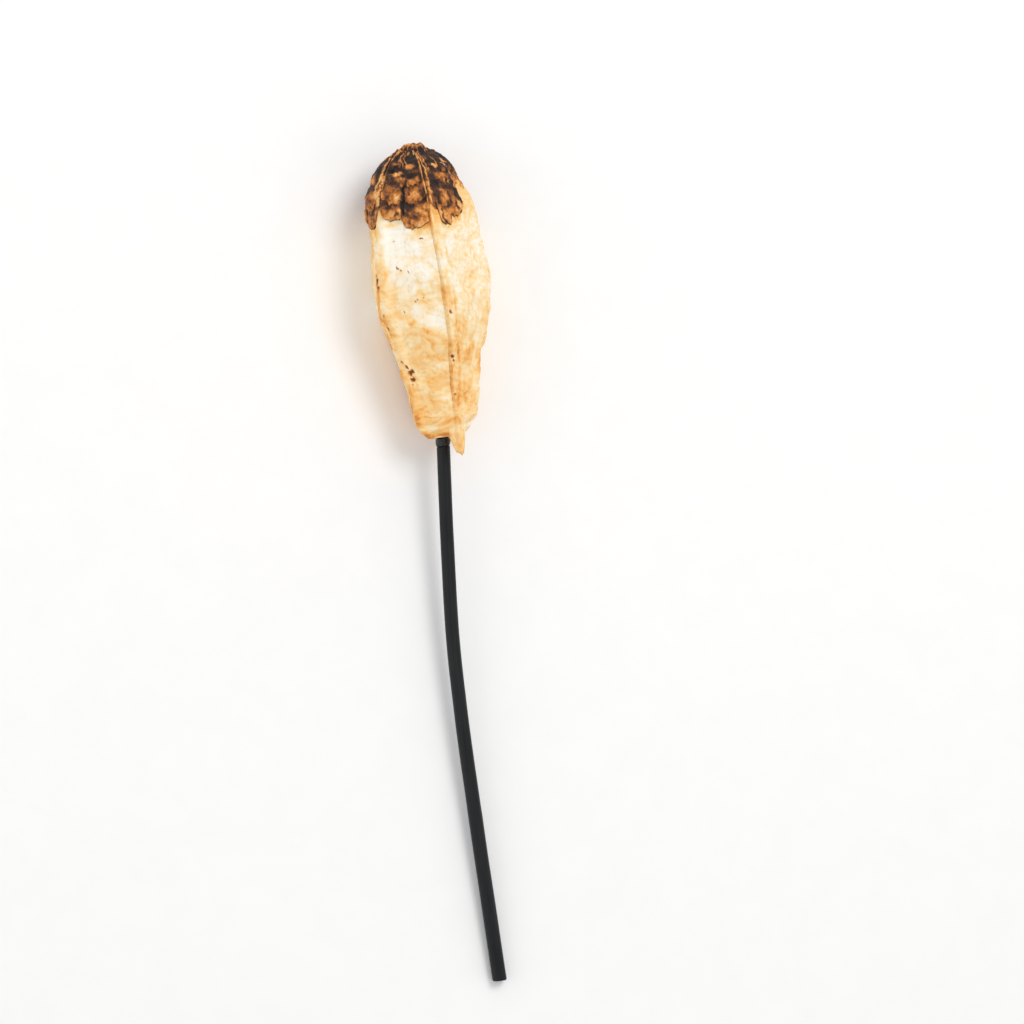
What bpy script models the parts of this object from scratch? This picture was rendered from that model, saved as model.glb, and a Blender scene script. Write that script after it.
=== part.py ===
"""One mahogany seed pod on its black stick, lying on its side on a table. Metres, +Z up.

The pod is the five-angled woody core of a mahogany fruit, left over when the husk and the seeds have
fallen. Five ribs run from its tip to its base. Between them the faces carry a dark crown of seed scars:
two rows of overlapping scales on each face, which end in ten round lobes. A slightly bowed stick is
pushed into a blind hole in the base and held there by a bead of glue.

Every piece is shaped in the pod's own frame: y runs along the pod, from the middle of its base up to its
tip, and an angle is measured about y from +Z towards +X. An empty then lays the pieces down, so that two
ribs and the far end of the stick touch the table.
"""

import math

import bmesh
import bpy
import numpy as np
from mathutils import Matrix, Vector

# The pod: its length, and its radius at the ribs' crests against the depth below the tip.
POD_LENGTH = 0.128
CREST_DEPTH = np.array(
    [0, 2, 4.7, 9, 16.5, 25, 36, 47, 56, 66, 78, 86, 96, 106, 116, 122.5, 126, 128]
) / 1000
CREST_RADIUS = np.array(
    [0, 7.2, 11.4, 15.7, 19.3, 22.1, 24.2, 26.0, 26.8, 26.3, 24.5, 22.6, 19.2, 16.8, 15.2, 13.9, 11.6, 8.8]
) / 1000

# The ribs: their angles in degrees at four depths, and their section. A rib is a low flat-topped band
# with a step down to the face on its left, sharpest at the front, and a soft slope to the face on its right.
FACES = 5
RIB_DEPTH = np.array([0, 35, 75, 128]) / 1000
RIB_ANGLES = np.array(
    [[9, 14, 20, 28], [84, 87, 90, 93], [160, 162, 163, 164], [231, 232, 233, 235], [319, 310, 306, 304]]
)
RIB_HEIGHT = 0.0013
RIB_FLAT = 0.13
RIB_SLOPE_FOOT = 0.33
STEP_FLAT = np.array([0.12, 0.12, 0.12, 0.12, 0.08])
STEP_FOOT = np.array([0.50, 0.24, 0.30, 0.24, 0.12])
RIB_START = 0.006

# How far each face swells from its flat chord towards a full circle. The pod lies on the hollow one.
# Round its tip the pod is a dome, which fades below the dome's depth.
FACE_SWELL = np.array([0.22, 0.20, -0.04, 0.66, 0.12])
DOME_SWELL = 0.75
DOME_DEPTH = 0.020
DOME_FADE = 0.025

# The slow lumps and hollows of the whole surface: their height, their lengths along the pod and the
# depth over which they set in.
UNEVENNESS = 0.00042
LONG_LUMP = 0.043
MIDDLE_LUMP = 0.027
SHORT_LUMP = 0.013
LUMP_FADE = 0.020

# Where the rib on the right is worn down, at the tip's shoulder and at the base's corner: how deep, the
# angle and its spread in degrees, and the depths over which the wear sets in and, at the shoulder, ends.
SHOULDER_CUT = 0.0015
SHOULDER_ANGLE = 88.0
SHOULDER_SPREAD = 36.0
SHOULDER_START = 0.002
SHOULDER_FULL = 0.008
SHOULDER_EASE = 0.018
SHOULDER_END = 0.030
CORNER_CUT = 0.0017
CORNER_ANGLE = 93.0
CORNER_SPREAD = 30.0
CORNER_START = 0.1195
CORNER_FULL = 0.1228

# The crown: the depth below the tip at which each face's left and right lobe ends, where across the face
# the lobes begin and stop and the crack between them ends, how far their edges turn up, and their relief.
LOBE_LEFT = np.array([37.2, 33.0, 34.5, 32.5, 33.0]) / 1000
LOBE_RIGHT = np.array([33.6, 35.5, 32.0, 35.0, 37.3]) / 1000
LOBE_AT_RIB = 0.0285
LOBE_DROP = 0.0055
LOBE_ROUNDNESS = 3.2
LOBE_BEGIN = np.array([-0.82, -0.50, -0.94, -0.94, -0.95])
LOBE_STOP = np.array([0.27, 0.94, 0.94, 0.94, 0.95])
CRACK_PLACE = np.array([-0.31, 0.03, -0.04, 0.02, -0.15])
CRACK_HALF_WIDTH = 0.05
CRACK_DROP_LEFT = np.array([0.05, 0.6, 0.5, 0.6, 0.08])
CRACK_DROP_RIGHT = np.array([0.15, 0.5, 0.6, 0.4, 0.40])
CRACK_SIDE = 0.55
RIB_EDGE = 0.12
SCALE_HEIGHT = 0.0014
SCALE_ROOT = 0.15
SCALE_LIP = 0.8
SCALE_FADE = 0.12
SCALES_LEFT = np.array([0.0, 0.30, 0.52, 0.77, 1.0])
SCALES_RIGHT = np.array([0.0, 0.24, 0.46, 0.71, 1.0])

# The torn tag of fibre that hangs from the rim of the base: its length, its place and half widths in
# degrees, and the depths between which the rim is drawn down.
TAG_LENGTH = 0.0108
TAG_ANGLE = 36.0
TAG_LEFT = 26.0
TAG_RIGHT = 33.0
TAG_START = 0.1228
TAG_FULL = 0.1266
TAG_BACK = 0.1262
TAG_ROUNDNESS = 2.2
TAG_BLUNTNESS = 0.7

# The stick: its centre line in the pod's frame, its radii, and the hole that it stands in.
STICK_Y = np.array([-235.5, -166, -120, -88, -50, 0, 27]) / 1000
STICK_X = np.array([-3.8, -6.1, -7.2, -7.06, -4.97, -1.32, 0.67]) / 1000
STICK_TOP = 0.026
STICK_RADIUS = 0.0029
STICK_FOOT_RADIUS = 0.0031
PEG_RADIUS = 0.0026
PEG_POINT_RADIUS = 0.0014
PEG_POINT_LENGTH = 0.006
END_ROUNDING = 0.0008
GAP = 0.0003
HOLE_RADIUS = PEG_RADIUS + GAP
HOLE_DEPTH = 0.027
BASE_FLAT = 0.0062

# The bead of glue around the stick's peg, from the pod's base down to the shoulder of the stick.
BEAD_LENGTH = 0.0037
BEAD_RADIUS = 0.0034
BEAD_FOOT_RADIUS = 0.0033
SHOULDER = -BEAD_LENGTH - GAP

# How the pieces lie: turned about the pod's length, then tipped stick end down, then moved so that the
# origin is under the middle of the whole object.
ROLL = math.radians(-17.81)
TIP_UP = math.radians(3.3)
POD_BASE = Vector((0.00003, 0.05369, 0.01765))

# Mesh density.
ACROSS_FACE = np.array(
    [-1, -0.87, -0.77, -0.62, -0.46, -0.3, -0.16, -0.05, 0.05, 0.16, 0.3, 0.46, 0.62, 0.76, 0.88, 0.92]
)
SCALE_ROWS = np.array([0.07, 0.34, 0.64, 0.88, 1.0])
UNDER_LIP = 0.008
BODY_SHARES = [*np.linspace(0.03, 0.93, 29), 0.955, 0.972, 0.986, 1.0]
STICK_SIDES = 16
STICK_RINGS = 44
BEAD_SIDES = 20


def smooth_step(x):
    """0 below 0, 1 above 1, and an easy S between them."""
    x = np.clip(x, 0, 1)
    return x * x * (3 - 2 * x)


def through(x, xs, ys):
    """The height at x of a smooth curve through the points (xs, ys)."""
    slopes = np.gradient(ys, xs)
    i = np.clip(np.searchsorted(xs, x) - 1, 0, len(xs) - 2)
    span = xs[i + 1] - xs[i]
    u = (x - xs[i]) / span
    start = (1 + 2 * u) * (1 - u) ** 2 * ys[i] + u * (1 - u) ** 2 * span * slopes[i]
    end = u**2 * (3 - 2 * u) * ys[i + 1] + u**2 * (u - 1) * span * slopes[i + 1]
    return start + end


def crest_radius(depth):
    """The radius at a rib's crest. Measured against the root of the depth, the tip comes out round."""
    return through(np.sqrt(depth), np.sqrt(CREST_DEPTH), CREST_RADIUS)


def angle_of(face, across, depth):
    """The angle of a point on a face, from -1 at the rib on its left to 1 at the rib on its right."""
    left = through(depth, RIB_DEPTH, RIB_ANGLES[face])
    right = through(depth, RIB_DEPTH, RIB_ANGLES[(face + 1) % FACES]) + (360 if face == FACES - 1 else 0)
    return math.radians(left + (right - left) * (across + 1) / 2)


def places_across(face):
    """The places across a face that get a column of points, drawn together towards its crack."""
    return ACROSS_FACE + CRACK_PLACE[face] * (1 - ACROSS_FACE**2)


def lobe_position(face, across):
    """Where a point lies across its own lobe, from -1 at the crack to 1 at the lobe's far side."""
    crack = CRACK_PLACE[face]
    far = LOBE_STOP[face] if across > crack else LOBE_BEGIN[face]
    return 2 * (across - crack) / (far - crack) - 1


def crown_edge(face, across):
    """The depth at which the crown of scales ends: a round lobe each side of the face's crack."""
    side = smooth_step(((across - CRACK_PLACE[face]) / CRACK_HALF_WIDTH + 1) / 2)
    lobe = LOBE_LEFT[face] + (LOBE_RIGHT[face] - LOBE_LEFT[face]) * side
    place = lobe_position(face, across)
    crack_drop = CRACK_DROP_RIGHT if across > CRACK_PLACE[face] else CRACK_DROP_LEFT
    turned_up = crack_drop[face] if place < 0 else 1.0
    edge = lobe - LOBE_DROP * turned_up * min(1.0, abs(place)) ** LOBE_ROUNDNESS
    on_rib = smooth_step(1 - (1 - abs(across)) / RIB_EDGE)
    return edge + (LOBE_AT_RIB - edge) * on_rib


def scale_share(face, across, scale, along):
    """The share of the crown's depth at which a point lies, along from 0 to 1 down one scale of its row."""
    ends = SCALES_LEFT if across < CRACK_PLACE[face] else SCALES_RIGHT
    return ends[scale] + (ends[scale + 1] - ends[scale]) * along


def scale_relief(face, across, share, along):
    """The height of a scale. It rises towards its lower lip, under which the next one starts."""
    rise = SCALE_ROOT + (1 - SCALE_ROOT) * math.sin(math.pi / 2 * min(1.0, along / SCALE_LIP))
    rise -= SCALE_ROOT * smooth_step((along - SCALE_LIP) / (1 - SCALE_LIP))
    place = lobe_position(face, across)
    between = smooth_step((1.05 - abs(place)) / 0.45)
    if place < 0:
        between = CRACK_SIDE + (1 - CRACK_SIDE) * between
    return SCALE_HEIGHT * (0.55 + 0.45 * share) * rise * between * smooth_step(share / SCALE_FADE)


def rib_relief(face, across):
    """1 on a rib's flat crest, 0 on the face beside it."""
    foot = STEP_FOOT[face] if across > 0 else RIB_SLOPE_FOOT
    flat = STEP_FLAT[face] if across > 0 else RIB_FLAT
    return smooth_step((foot - (1 - abs(across))) / (foot - flat))


def worn(angle, depth):
    """How much the rib on the right is worn down, at the tip's shoulder and at the base's corner."""
    turn = math.degrees(angle) % 360
    shoulder = SHOULDER_CUT * math.exp(-(((turn - SHOULDER_ANGLE) / SHOULDER_SPREAD) ** 2))
    shoulder *= smooth_step((depth - SHOULDER_START) / (SHOULDER_FULL - SHOULDER_START))
    shoulder *= 1 - smooth_step((depth - SHOULDER_EASE) / (SHOULDER_END - SHOULDER_EASE))
    corner = CORNER_CUT * math.exp(-(((turn - CORNER_ANGLE) / CORNER_SPREAD) ** 2))
    return shoulder + corner * smooth_step((depth - CORNER_START) / (CORNER_FULL - CORNER_START))


def unevenness(angle, depth):
    """The slow lumps and hollows of a grown thing, from waves along and around the pod."""
    along = 2 * math.pi * depth
    lumps = math.sin(along / LONG_LUMP + 2 * angle + 1.0)
    lumps += math.sin(along / MIDDLE_LUMP + 0.6) * math.cos(3 * angle + 0.4)
    lumps += 0.7 * math.sin(along / SHORT_LUMP) * math.cos(4 * angle + 1.9)
    return UNEVENNESS * lumps * smooth_step(depth / LUMP_FADE)


def pod_radius(face, across, angle, depth):
    """The radius of the pod's outer surface, without the scales of its crown."""
    core = max(float(crest_radius(depth)) - RIB_HEIGHT, 0.0)
    half = math.radians(180 / FACES)
    chord = math.cos(half) / math.cos(half * across)
    dome = DOME_SWELL * (1 - smooth_step((depth - DOME_DEPTH) / DOME_FADE))
    section = chord + (1 - chord) * (FACE_SWELL[face] + dome)
    rib = RIB_HEIGHT * rib_relief(face, across) * smooth_step(depth / RIB_START)
    return core * section + rib + unevenness(angle, depth) - worn(angle, depth)


def tag_drop(angle, depth):
    """How far the torn tag carries a point of the rim below the base."""
    off = math.degrees(angle) % 360 - TAG_ANGLE
    aside = abs(off) / (TAG_LEFT if off < 0 else TAG_RIGHT)
    outline = max(0.0, 1 - aside**TAG_ROUNDNESS) ** TAG_BLUNTNESS
    outside = smooth_step((depth - TAG_START) / (TAG_FULL - TAG_START))
    inside = 1 - 0.7 * smooth_step((depth - TAG_BACK) / (POD_LENGTH - TAG_BACK))
    return TAG_LENGTH * outline * outside * inside


def surface_point(face, across, depth, raised):
    """The point of the outer surface at a place across a face and a depth below the tip."""
    angle = angle_of(face, across, depth)
    radius = pod_radius(face, across, angle, depth) + raised
    height = POD_LENGTH - depth - tag_drop(angle, depth)
    return Vector((radius * math.sin(angle), height, radius * math.cos(angle)))


def crown_point(face, across, scale, along):
    share = scale_share(face, across, scale, along)
    raised = scale_relief(face, across, share, along)
    return surface_point(face, across, crown_edge(face, across) * share, raised)


def body_point(face, across, share):
    edge = crown_edge(face, across)
    return surface_point(face, across, edge + (POD_LENGTH - edge) * share, 0.0)


def pod_rings():
    """Rings of points from just under the tip to the rim of the base. Each scale of the crown gets the
    same rows, so that its lip is crisp."""
    places = [(face, across) for face in range(FACES) for across in places_across(face)]
    rings = []
    for scale in range(len(SCALES_LEFT) - 1):
        for along in SCALE_ROWS:
            rings.append([crown_point(face, across, scale, along) for face, across in places])
    for share in [UNDER_LIP, *BODY_SHARES]:
        rings.append([body_point(face, across, share) for face, across in places])
    return rings


def stick_centre(y):
    """The stick's centre line at height y."""
    return Vector((float(through(y, STICK_Y, STICK_X)), y, 0))


def hole_rings(rim):
    """Rings that carry the rim across the underside of the base and up into the blind hole."""
    mouth, end = stick_centre(0.0), stick_centre(HOLE_DEPTH)
    rings = []
    for centre, radius in ((mouth, BASE_FLAT), (mouth, HOLE_RADIUS), (end, HOLE_RADIUS)):
        ring = []
        for point in rim:
            angle = math.atan2(point.x, point.z)
            ring.append(centre + Vector((radius * math.sin(angle), 0, radius * math.cos(angle))))
        rings.append(ring)
    return rings


def loft(name, rings, start=None, end=None):
    """A solid whose skin is extruded from ring to ring. A start or end point closes it there, and
    without them the last ring is joined to the first."""
    bm = bmesh.new()
    first = [bm.verts.new(point) for point in rings[0]]
    count = len(first)
    edges = [bm.edges.new((first[i], first[(i + 1) % count])) for i in range(count)]
    loop, verts = edges, first
    for ring in rings[1:]:
        made = bmesh.ops.extrude_edge_only(bm, edges=loop)["geom"]
        fresh = {v for v in made if isinstance(v, bmesh.types.BMVert)}
        partners = []
        for old in verts:
            partners.append(next(e.other_vert(old) for e in old.link_edges if e.other_vert(old) in fresh))
        for vert, point in zip(partners, ring):
            vert.co = point
        loop = [e for e in made if isinstance(e, bmesh.types.BMEdge) and set(e.verts) <= fresh]
        verts = partners
    if start is None:
        bmesh.ops.bridge_loops(bm, edges=edges + loop)
    else:
        for boundary, point in ((edges, start), (loop, end)):
            lid = bmesh.ops.contextual_create(bm, geom=boundary)["faces"]
            centre = bmesh.ops.poke(bm, faces=lid)["verts"][0]
            centre.co = point
    bmesh.ops.recalc_face_normals(bm, faces=bm.faces)
    mesh = bpy.data.meshes.new(name)
    bm.to_mesh(mesh)
    bm.free()
    mesh.shade_smooth()
    mesh.set_sharp_from_angle(angle=math.radians(50))
    return bpy.data.objects.new(name, mesh)


def pod():
    rings = pod_rings()
    tip = Vector((0, POD_LENGTH, 0))
    hole_end = stick_centre(HOLE_DEPTH)
    return loft("pod", rings + hole_rings(rings[-1]), tip, hole_end)


def circle(centre, radii, sides, tilt=0.0):
    """A ring of points about the stick. radii is a number, or a function of the angle, and tilt turns
    the ring square to the stick."""
    turn = Matrix.Rotation(tilt, 4, "Z")
    ring = []
    for i in range(sides):
        angle = -2 * math.pi * i / sides
        radius = radii(angle) if callable(radii) else radii
        ring.append(centre + turn @ Vector((radius * math.sin(angle), 0, radius * math.cos(angle))))
    return ring


def stick():
    """A bowed round stick, a little thicker towards its foot, with a blunt peg whittled on its top."""
    foot = float(STICK_Y[0])
    stations = [
        (STICK_TOP, PEG_POINT_RADIUS),
        (STICK_TOP - PEG_POINT_LENGTH, PEG_RADIUS),
        (0.0, PEG_RADIUS),
        (SHOULDER + GAP / 3, PEG_RADIUS),
        (SHOULDER, STICK_RADIUS),
    ]
    for y in np.linspace(SHOULDER, foot + END_ROUNDING, STICK_RINGS)[1:]:
        share = y / foot
        stations.append((float(y), STICK_RADIUS + (STICK_FOOT_RADIUS - STICK_RADIUS) * share))
    for turn in (math.radians(45), math.radians(90)):
        inset = END_ROUNDING * (1 - math.cos(turn))
        stations.append((foot + END_ROUNDING * (1 - math.sin(turn)), STICK_FOOT_RADIUS - inset))
    rings = []
    for y, radius in stations:
        slope = (stick_centre(y + GAP).x - stick_centre(y - GAP).x) / (2 * GAP)
        rings.append(circle(stick_centre(y), radius, STICK_SIDES, -math.atan(slope)))
    return loft("stick", rings, stick_centre(STICK_TOP), stick_centre(foot))


def glue_bead():
    """A lumpy ring of glue in the corner between the stick and the pod's base."""
    inner = PEG_RADIUS + GAP
    top, bottom = -GAP, -BEAD_LENGTH

    def lumpy(size):
        return lambda angle: size * (1 + 0.05 * math.sin(2 * angle + 0.6) + 0.04 * math.sin(5 * angle))

    rings = [
        circle(stick_centre(top), inner, BEAD_SIDES),
        circle(stick_centre(top), lumpy(BEAD_RADIUS), BEAD_SIDES),
        circle(stick_centre((top + bottom) / 2), lumpy(BEAD_RADIUS), BEAD_SIDES),
        circle(stick_centre(bottom), lumpy(BEAD_FOOT_RADIUS), BEAD_SIDES),
        circle(stick_centre(bottom), inner, BEAD_SIDES),
    ]
    return loft("glue_bead", rings)


def press_flat(obj, lying):
    """Where a piece would dip below the table, it is worn flat."""
    back = lying.inverted()
    for vertex in obj.data.vertices:
        place = lying @ vertex.co
        if place.z < 0:
            place.z = 0
            vertex.co = back @ place


def material(name, colour, roughness):
    made = bpy.data.materials.new(name)
    made.use_nodes = True
    shader = made.node_tree.nodes["Principled BSDF"]
    shader.inputs["Base Color"].default_value = (*colour, 1)
    shader.inputs["Roughness"].default_value = roughness
    shader.inputs["Metallic"].default_value = 0
    return made


def build():
    for old in list(bpy.data.objects):
        bpy.data.objects.remove(old)
    frame = bpy.data.objects.new("lying_frame", None)
    bpy.context.scene.collection.objects.link(frame)
    lying = Matrix.Translation(POD_BASE) @ Matrix.Rotation(TIP_UP, 4, "X") @ Matrix.Rotation(ROLL, 4, "Y")
    frame.matrix_world = lying
    finishes = {
        "pod": material("pale_spongy_wood", (0.86, 0.68, 0.42), 0.85),
        "stick": material("black_stained_wood", (0.012, 0.013, 0.015), 0.5),
        "glue_bead": material("black_glue", (0.010, 0.010, 0.010), 0.2),
    }
    for piece in (pod(), stick(), glue_bead()):
        press_flat(piece, lying)
        piece.data.materials.append(finishes[piece.name])
        piece.parent = frame
        bpy.context.scene.collection.objects.link(piece)


build()
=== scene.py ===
# %% [markdown]
# # A mahogany seed pod on its stick
#
# A mahogany fruit splits its woody husk and lets its winged seeds fly. What stays is the core: a light,
# spongy column with five ribs and a dark crown, where the seeds were attached. Florists glue it on a black
# stick. This lesson dresses the solid model of one such pod: a fine pod with every scale, crease and pit,
# a stick, a bead of glue, and a finish for each.

# %% Load the solid model
import math

import bmesh
import bpy
import numpy as np
from mathutils import Matrix, Vector, noise


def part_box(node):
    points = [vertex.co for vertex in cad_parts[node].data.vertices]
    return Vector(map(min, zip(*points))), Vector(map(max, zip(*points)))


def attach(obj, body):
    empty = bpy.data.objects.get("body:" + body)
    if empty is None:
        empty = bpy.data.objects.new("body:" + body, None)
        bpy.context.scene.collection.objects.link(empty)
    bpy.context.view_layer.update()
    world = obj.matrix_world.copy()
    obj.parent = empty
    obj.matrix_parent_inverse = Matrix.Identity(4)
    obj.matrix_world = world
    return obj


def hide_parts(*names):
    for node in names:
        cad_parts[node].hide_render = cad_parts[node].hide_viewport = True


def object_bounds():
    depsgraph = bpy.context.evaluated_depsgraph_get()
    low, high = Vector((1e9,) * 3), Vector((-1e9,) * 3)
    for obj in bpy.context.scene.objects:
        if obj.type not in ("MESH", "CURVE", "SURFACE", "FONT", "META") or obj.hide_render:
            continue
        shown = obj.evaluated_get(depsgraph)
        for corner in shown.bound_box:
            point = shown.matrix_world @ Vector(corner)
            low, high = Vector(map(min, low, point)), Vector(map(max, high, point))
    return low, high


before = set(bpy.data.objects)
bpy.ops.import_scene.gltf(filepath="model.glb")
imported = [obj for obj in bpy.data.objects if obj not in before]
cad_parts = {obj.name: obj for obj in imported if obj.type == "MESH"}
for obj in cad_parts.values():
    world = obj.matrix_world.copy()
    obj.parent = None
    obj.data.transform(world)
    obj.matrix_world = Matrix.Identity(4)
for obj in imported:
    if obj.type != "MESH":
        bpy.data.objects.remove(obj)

cad_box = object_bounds()
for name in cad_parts:
    low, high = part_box(name)
    print(name, "measures", [round((b - a) * 1000, 1) for a, b in zip(low, high)], "mm")

# %% [markdown]
# ## How the pod lies
#
# A pod grows along its own axis, and it is simplest to shape it there: y runs from the middle of the base
# up to the tip, and an angle is measured about y from +Z towards +X. One matrix then lays every piece down,
# so that two ribs and the foot of the stick touch the table. The three values are the solid model's own.

# %% Lay the pod down
ROLL = math.radians(-17.81)
TIP_UP = math.radians(3.3)
POD_BASE = Vector((0.00003, 0.05369, 0.01765))

LYING = Matrix.Translation(POD_BASE) @ Matrix.Rotation(TIP_UP, 4, "X") @ Matrix.Rotation(ROLL, 4, "Y")
print("the tip is at", [round(c, 4) for c in LYING @ Vector((0, 0.128, 0))])

# %% [markdown]
# ## The camera
#
# The photograph looks straight at one broad face of the pod, from far away. The pod lies down here, so the
# camera hangs over that face and looks down on it. A long lens from far off keeps the ribs parallel, as in
# the photograph. Two points fix the framing: the middle of the base and the tip, each at its own pixel.

# %% Aim the camera
IMAGE_SIDE = 1024
BASE_PIXEL = Vector((446, 437))
TIP_PIXEL = Vector((412, 142))
POD_LENGTH = 0.128
CAMERA_DISTANCE = 2.6
SENSOR = 36

up_image = Vector((TIP_PIXEL.x - BASE_PIXEL.x, BASE_PIXEL.y - TIP_PIXEL.y))
metres_per_pixel = POD_LENGTH / up_image.length
lean = math.atan2(up_image.x, up_image.y)
aim = LYING @ Matrix.Rotation(lean, 4, "Z")
middle = Vector((IMAGE_SIDE / 2 - BASE_PIXEL.x, BASE_PIXEL.y - IMAGE_SIDE / 2, 0)) * metres_per_pixel

camera = bpy.data.objects.new("camera", bpy.data.cameras.new("camera"))
bpy.context.scene.collection.objects.link(camera)
camera.matrix_world = aim @ Matrix.Translation(middle + Vector((0, 0, CAMERA_DISTANCE)))
camera.data.sensor_width = SENSOR
camera.data.lens = SENSOR * CAMERA_DISTANCE / (IMAGE_SIDE * metres_per_pixel)
camera.data.clip_end = 20
bpy.context.scene.camera = camera
print("a pixel is", round(metres_per_pixel * 1000, 3), "mm, and the lens is", round(camera.data.lens), "mm")

# %% [markdown]
# ## The table and the light
#
# The pod is shown as in a catalogue: on white, with hardly a shadow. A big soft lamp over the upper left
# gives the relief its shape, a weaker one fills the right side, and a bright, even sky lights the rest.

# %% Light the table
FLOOR_SIDE = 6.0
SKY_STRENGTH = 0.68


def lamp(name, place, side, watts, colour):
    """A square lamp that looks at the pod from a place given in the camera's directions."""
    light = bpy.data.lights.new(name, "AREA")
    light.size = side
    light.energy = watts
    light.color = colour
    made = bpy.data.objects.new(name, light)
    bpy.context.scene.collection.objects.link(made)
    turn = aim.to_quaternion()
    spot = LYING @ Vector((0, POD_LENGTH / 2, 0))
    made.location = spot + turn @ Vector(place)
    made.rotation_mode = "QUATERNION"
    made.rotation_quaternion = (turn @ Vector(place)).to_track_quat("Z", "Y")


lamp("key_lamp", (0.85, 0.75, 1.25), 0.8, 10.5, (1.0, 0.99, 0.97))
lamp("fill_lamp", (-1.1, -0.1, 1.2), 1.0, 3.0, (0.96, 0.98, 1.0))

sky = bpy.data.worlds.new("sky")
sky.use_nodes = True
sky.node_tree.nodes["Background"].inputs["Color"].default_value = (1, 1, 1, 1)
sky.node_tree.nodes["Background"].inputs["Strength"].default_value = SKY_STRENGTH
bpy.context.scene.world = sky
bpy.context.scene.view_settings.view_transform = "Standard"
print("the sky shines at", SKY_STRENGTH)

# %% [markdown]
# ## Writing finishes as sums
#
# A finish is a web of nodes, and most of them only add, multiply or blend. The class below wraps the output
# of a node, so that an expression such as 1 - mask * 0.5 makes its own nodes. Numbers alone stay in Python.

# %% A small language for finishes
class Wire:
    """What comes out of a node: a number, a colour or a vector."""

    def __init__(self, finish, socket):
        self.finish = finish
        self.socket = socket

    def maths(self, operation, *values):
        return self.finish.node("ShaderNodeMath", {"operation": operation}, dict(enumerate(values)))

    def __add__(self, other):
        return self.maths("ADD", self, other)

    def __sub__(self, other):
        return self.maths("SUBTRACT", self, other)

    def __rsub__(self, other):
        return self.maths("SUBTRACT", other, self)

    def __mul__(self, other):
        return self.maths("MULTIPLY", self, other)

    __radd__ = __add__
    __rmul__ = __mul__

    def between(self, low, high):
        """0 up to low, 1 from high, and an easy S between them. low may be the larger one."""
        values = {"Value": self, "From Min": low, "From Max": high}
        return self.finish.node("ShaderNodeMapRange", {"interpolation_type": "SMOOTHSTEP"}, values)


print("a wire knows", [name for name in vars(Wire) if not name.startswith("_")])

# %% Build a material from wires
DRIFT_SCALE = 85.0


class Finish:
    """A material in the making: node adds any node, and the rest are the few that every finish uses."""

    def __init__(self, name, roughness, specular=0.5):
        self.material = bpy.data.materials.new(name)
        self.material.use_nodes = True
        self.tree = self.material.node_tree
        self.shader = self.tree.nodes["Principled BSDF"]
        self.shader.inputs["Roughness"].default_value = roughness
        self.shader.inputs["Specular IOR Level"].default_value = specular

    def node(self, kind, settings=None, values=None, output=0):
        """Adds one node. Its settings are set first, and then the values or links of its sockets."""
        made = self.tree.nodes.new(kind)
        for key, value in (settings or {}).items():
            if key == "stops":
                self.set_stops(made.color_ramp.elements, value)
            else:
                setattr(made, key, value)
        for key, value in (values or {}).items():
            self.put(made.inputs[key], value)
        return Wire(self, made.outputs[output])

    def set_stops(self, elements, stops):
        for place, _ in stops[2:]:
            elements.new(place)
        for element, (place, colour) in zip(elements, stops):
            element.position = place
            element.color = colour

    def ramp(self, factor, *stops):
        """A colour read off a row of stops, each a place from 0 to 1 and a colour."""
        return self.node("ShaderNodeValToRGB", {"stops": stops}, {"Fac": factor})

    def put(self, socket, value):
        if isinstance(value, Wire):
            self.tree.links.new(value.socket, socket)
        else:
            socket.default_value = value

    def attribute(self, name):
        return self.node("ShaderNodeAttribute", {"attribute_name": name}, output="Fac")

    def place(self, stretch, drift=0.0):
        """Object coordinates turned into the pod's own frame, bent by slow noise of up to drift metres,
        and stretched along its x, y and z."""
        own = self.node("ShaderNodeTexCoord", output="Object")
        back = LYING.inverted()
        to_pod = {"Vector": own, "Location": back.to_translation(), "Rotation": back.to_euler("XYZ")}
        turned = self.node("ShaderNodeMapping", {}, to_pod)
        if drift:
            slow_values = {"Vector": turned, "Scale": DRIFT_SCALE, "Detail": 1.0}
            slow = self.node("ShaderNodeTexNoise", {}, slow_values, output=1)
            halves = {0: slow, 1: (0.5, 0.5, 0.5)}
            centred = self.node("ShaderNodeVectorMath", {"operation": "SUBTRACT"}, halves)
            bend = {0: centred, 1: (drift, drift, drift), 2: turned}
            turned = self.node("ShaderNodeVectorMath", {"operation": "MULTIPLY_ADD"}, bend)
        return self.node("ShaderNodeMapping", {}, {"Vector": turned, "Scale": Vector(stretch)})

    def grain(self, stretch, scale, detail=3.0, roughness=0.55, distortion=0.0, drift=0.0):
        values = {
            "Vector": self.place(stretch, drift),
            "Scale": scale,
            "Detail": detail,
            "Roughness": roughness,
            "Distortion": distortion,
        }
        return self.node("ShaderNodeTexNoise", {"noise_dimensions": "3D"}, values)

    def blend(self, factor, first, second):
        """A colour that goes from first, at 0, to second, at 1."""
        return self.node("ShaderNodeMix", {"data_type": "RGBA"}, {0: factor, 6: first, 7: second}, output=2)

    def bump(self, height, distance, strength):
        values = {"Height": height, "Distance": distance, "Strength": strength}
        return self.node("ShaderNodeBump", {}, values)

    def finished(self, colour, roughness=None, normal=None):
        self.put(self.shader.inputs["Base Color"], colour)
        if roughness is not None:
            self.put(self.shader.inputs["Roughness"], roughness)
        if normal is not None:
            self.put(self.shader.inputs["Normal"], normal)


print("a finish knows", [name for name in vars(Finish) if not name.startswith("_")])


# %% Mix a paint
def paint(red, green, blue):
    """A colour as it is mixed on a screen, from 0 to 255, turned into the renderer's light values."""
    share = [c / 255 for c in (red, green, blue)]
    return (*[c / 12.92 if c < 0.04045 else ((c + 0.055) / 1.055) ** 2.4 for c in share], 1.0)


print("cream is", [round(c, 2) for c in paint(252, 241, 222)])

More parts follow.
